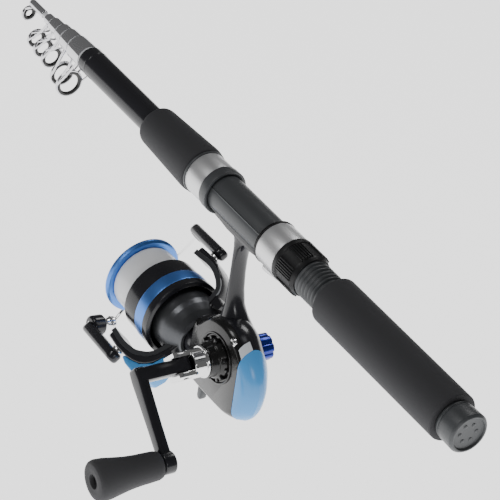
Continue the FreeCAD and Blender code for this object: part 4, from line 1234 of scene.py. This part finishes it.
def paddle(start: Pair, end: Pair, near: float, far: float, steps: int = 14) -> list[Pair]:
    """Outline of a bar with two round ends of different size.

    Args:
        start: Middle of the first round end.
        end: Middle of the far one.
        near: Radius of the first end.
        far: Radius of the far one.
        steps: Steps of each round end.

    Returns:
        Corners of the outline.
    """
    a = Vector(start)
    b = Vector(end)
    angle = math.atan2(b.y - a.y, b.x - a.x)
    points = []
    for centre, radius, first in ((b, far, -90.0), (a, near, 90.0)):
        for i in range(steps + 1):
            turn = angle + math.radians(first + 180.0 * i / steps)
            points.append((centre.x + radius * math.cos(turn), centre.y + radius * math.sin(turn)))
    return points


@dataclass
class Crank:
    """Folding crank: bracket, pin, arm, knob and the far screw cap."""

    reach: float = 50.7
    pin_y: float = -36.0
    knob_start: float = -68.6
    knob_long: float = 43.0

    def build(self) -> None:
        """Build every piece of the crank."""
        self._bracket()
        self._arm()
        self._knob()
        self._cap()

    def _bracket(self) -> None:
        """Chrome collar with its two cheeks."""
        bracket = Forge(PLACES.crank())
        bracket.lathe([(22.6, 0.0), (22.6, 9.3), (23.2, 9.6), (24.2, 9.2), (24.4, 8.4), (31.6, 8.4),
                       (32.0, 8.0), (32.0, 6.6), (30.8, 6.2), (30.8, 0.0)], OUTWARD, 72, 0.25)
        for side in (-1, 1):
            low = 4.3 if side > 0 else -7.4
            bracket.block((low, -43.0, -6.0), (low + 3.1, -30.5, 6.0), 0.5)
        bracket.bar((0, -23, 0), (0, 18.4, 0), 2.5)
        bracket.done("crank_collar", CHROME, "drive", ["crank_bracket"])
        pin = Forge(PLACES.crank())
        pin.bar((-7.8, self.pin_y, 0), (7.8, self.pin_y, 0), 1.5, steps=24)
        pin.done("fold_pin_steel", LINING_AND_SHADE, "drive", ["fold_pin"])

    def _arm(self) -> None:
        """Black arm with a rounded elbow, end boss and the knob's post."""
        arm = Forge(PLACES.crank())
        arm.block((-4.1, -66.5, -5.2), (4.1, -35, 5.2), 1.3)
        arm.bar((-4.1, self.pin_y, 0), (4.1, self.pin_y, 0), 5.2, steps=32)
        arm.prism([(-4.8, -4.4), (2, -5.2), (14, -4.7), (30, -4.1), (self.reach, -4.0), (self.reach, 4.0),
                   (30, 4.1), (14, 4.7), (2, 5.2), (-4.8, 4.4)], -68.0, -61.2, bevel=1.9, segments=4)
        tilt = Matrix.Translation((self.reach, 0, 0)) @ OUTWARD
        arm.lathe([(60.4, 0.0), (60.4, 5.6), (61.2, 6.5), (67.4, 6.5), (68.2, 5.6), (68.2, 0.0)], tilt, 48,
                  0.4)
        arm.done("crank_arm_black", GLOSS, "crank", ["crank_arm"])
        post = Forge(PLACES.crank())
        post.bar((self.reach, -100, 0), (self.reach, -62, 0), 2.4)
        post.bar((self.reach, -101.5, 0), (self.reach, -99.8, 0), 3.4, steps=24)
        post.done("knob_post_steel", STEEL, "crank")

    def _knob(self) -> None:
        """Waisted rubber knob, wider at its free end."""
        long = self.knob_long
        knob = Forge(PLACES.crank())
        place = Matrix.Translation((self.reach, self.knob_start, 0)) @ OUTWARD
        knob.lathe([(0, 2.6), (0, 6.6), (0.6, 7.6), (3, 8.4), (0.2 * long, 8.7), (0.34 * long, 8.9),
                    (0.5 * long, 9.5), (0.66 * long, 10.6), (0.8 * long, 11.7), (0.92 * long, 12.1),
                    (0.97 * long, 11.6), (long, 10.4), (long + 0.3, 7.6), (long, 5.4), (long, 4.2),
                    (31.2, 4.0), (31.2, 2.6)], place @ Matrix.Diagonal((1.0, 1.0, 0.86, 1.0)), 72, 0.5)
        knob.done("crank_knob_rubber", RUBBER, "grip_knob", ["knob"])

    def _cap(self) -> None:
        """Fluted blue cap on the far side."""
        cap = Forge(PLACES.crank())
        outline = []
        for i in range(96):
            angle = math.tau * i / 96
            radius = 8.0 - 0.75 * max(0.0, math.cos(angle * 8)) ** 1.6
            outline.append((radius * math.cos(angle), radius * math.sin(angle)))
        cap.prism(outline, 12.1, 21.4, bevel=0.9, segments=3)
        cap.done("far_cap_blue", NAVY, "cap", ["screw_cap"])


@dataclass(frozen=True)
class Studio:
    """Camera, lights and floor."""

    lens: float = 206.06
    place: Triple = (0.9194, -0.8326, 0.8394)
    azimuth: float = 51.69
    elevation: float = 32.56
    roll: float = 10.83
    aim: Triple = (-0.12, 0.0, -0.03)
    surround: float = 0.12
    floor_half: float = 6.0
    floor_z: float = -0.45
    floor_glow: float = 1.8

    def build(self) -> None:
        """Set up the camera, the soft lights and the pale floor."""
        self._camera()
        self._lights()
        self._floor()

    def _camera(self) -> None:
        """Place the camera from its angles round the object."""
        az = math.radians(self.azimuth)
        el = math.radians(self.elevation)
        roll = math.radians(self.roll)
        back = Vector((math.sin(az) * math.cos(el), -math.cos(az) * math.cos(el), math.sin(el)))
        level = Vector((math.cos(az), math.sin(az), 0))
        upright = back.cross(level)
        right = level * math.cos(roll) + upright * math.sin(roll)
        up = upright * math.cos(roll) - level * math.sin(roll)
        data = bpy.data.cameras.new("view")
        data.lens = self.lens
        data.sensor_width = 36.0
        data.clip_end = 20.0
        camera = bpy.data.objects.new("view", data)
        turn = Matrix((right, up, back)).transposed().to_4x4()
        camera.matrix_world = Matrix.Translation(self.place) @ turn
        bpy.context.scene.collection.objects.link(camera)
        bpy.context.scene.camera = camera

    def _light(self, name: str, place: Triple, size: float, power: float) -> None:
        """Add one large square light that faces the reel.

        Args:
            name: Its name.
            place: Where it stands, in metres.
            size: Length of its side, in metres.
            power: Its power in watts.
        """
        data = bpy.data.lights.new(name, "AREA")
        data.size = size
        data.energy = power
        lamp = bpy.data.objects.new(name, data)
        aim = Vector(self.aim) - Vector(place)
        lamp.rotation_euler = aim.to_track_quat("-Z", "Y").to_euler()
        lamp.location = place
        bpy.context.scene.collection.objects.link(lamp)

    def _lights(self) -> None:
        """Soft box lights and an even pale surround."""
        self._light("key", (-0.5, -0.9, 1.2), 0.5, 5.0)
        self._light("side", (1.2, -0.5, 0.5), 0.35, 2.5)
        self._light("far", (-0.6, 0.9, 1.2), 0.5, 5.0)
        world = bpy.data.worlds.new("surround")
        world.use_nodes = True
        backdrop = world.node_tree.nodes["Background"]
        backdrop.inputs["Color"].default_value = (1.0, 1.0, 1.0, 1.0)
        backdrop.inputs["Strength"].default_value = self.surround
        bpy.context.scene.world = world

    def _floor(self) -> None:
        """Plain pale floor well below the object."""
        part = bmesh.new()
        bmesh.ops.create_grid(part, x_segments=1, y_segments=1, size=self.floor_half)
        bmesh.ops.translate(part, verts=part.verts, vec=(0, 0, self.floor_z))
        mesh = bpy.data.meshes.new("floor")
        part.to_mesh(mesh)
        part.free()
        floor = bpy.data.objects.new("floor", mesh)
        bpy.context.scene.collection.objects.link(floor)
        paint = Finish("floor_paint", "floor", (0.90, 0.90, 0.90), (0.93, 0.93, 0.93), 0.8, scale=30.0,
                       bump=0.00002, glow=self.floor_glow)
        mesh.materials.append(paint.material())


CARRIED: dict[str, Finish] = {
    "drive_gear": ZINC, "oscillation_gear": ZINC, "slider": ZINC, "pinion": BRASS, "rotor_nut": STEEL,
    "main_shaft": STEEL, "pinion_bearing": STEEL, "one_way_clutch": STEEL, "axle_bearing_near": STEEL,
    "axle_bearing_far": STEEL, "drag_washers": FELT}


def dress_carried(nodes: dict[str, bpy.types.Object]) -> None:
    """Give the inner pieces that are kept as they are their finishes.

    Args:
        nodes: The frame's nodes by name.
    """
    for name, finish in CARRIED.items():
        piece = nodes[name]
        piece.data.materials.clear()
        piece.data.materials.append(finish.material())
        LOG.info("%s: kept with finish %s", name, finish.name)


def main() -> None:
    """Build every group."""
    logging.basicConfig(level=logging.INFO, format="%(message)s")
    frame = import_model()
    dress_carried(frame["nodes"])
    groups: list[Callable[[], None]] = [
        Butt().build, Seat().build, FrontGrip().build, Extensions().build, GearCase().build, Spool().build,
        Rotor().build, Bail().build, Crank().build, Studio().build]
    for build in groups:
        build()


if __name__ == "__main__":
    main()
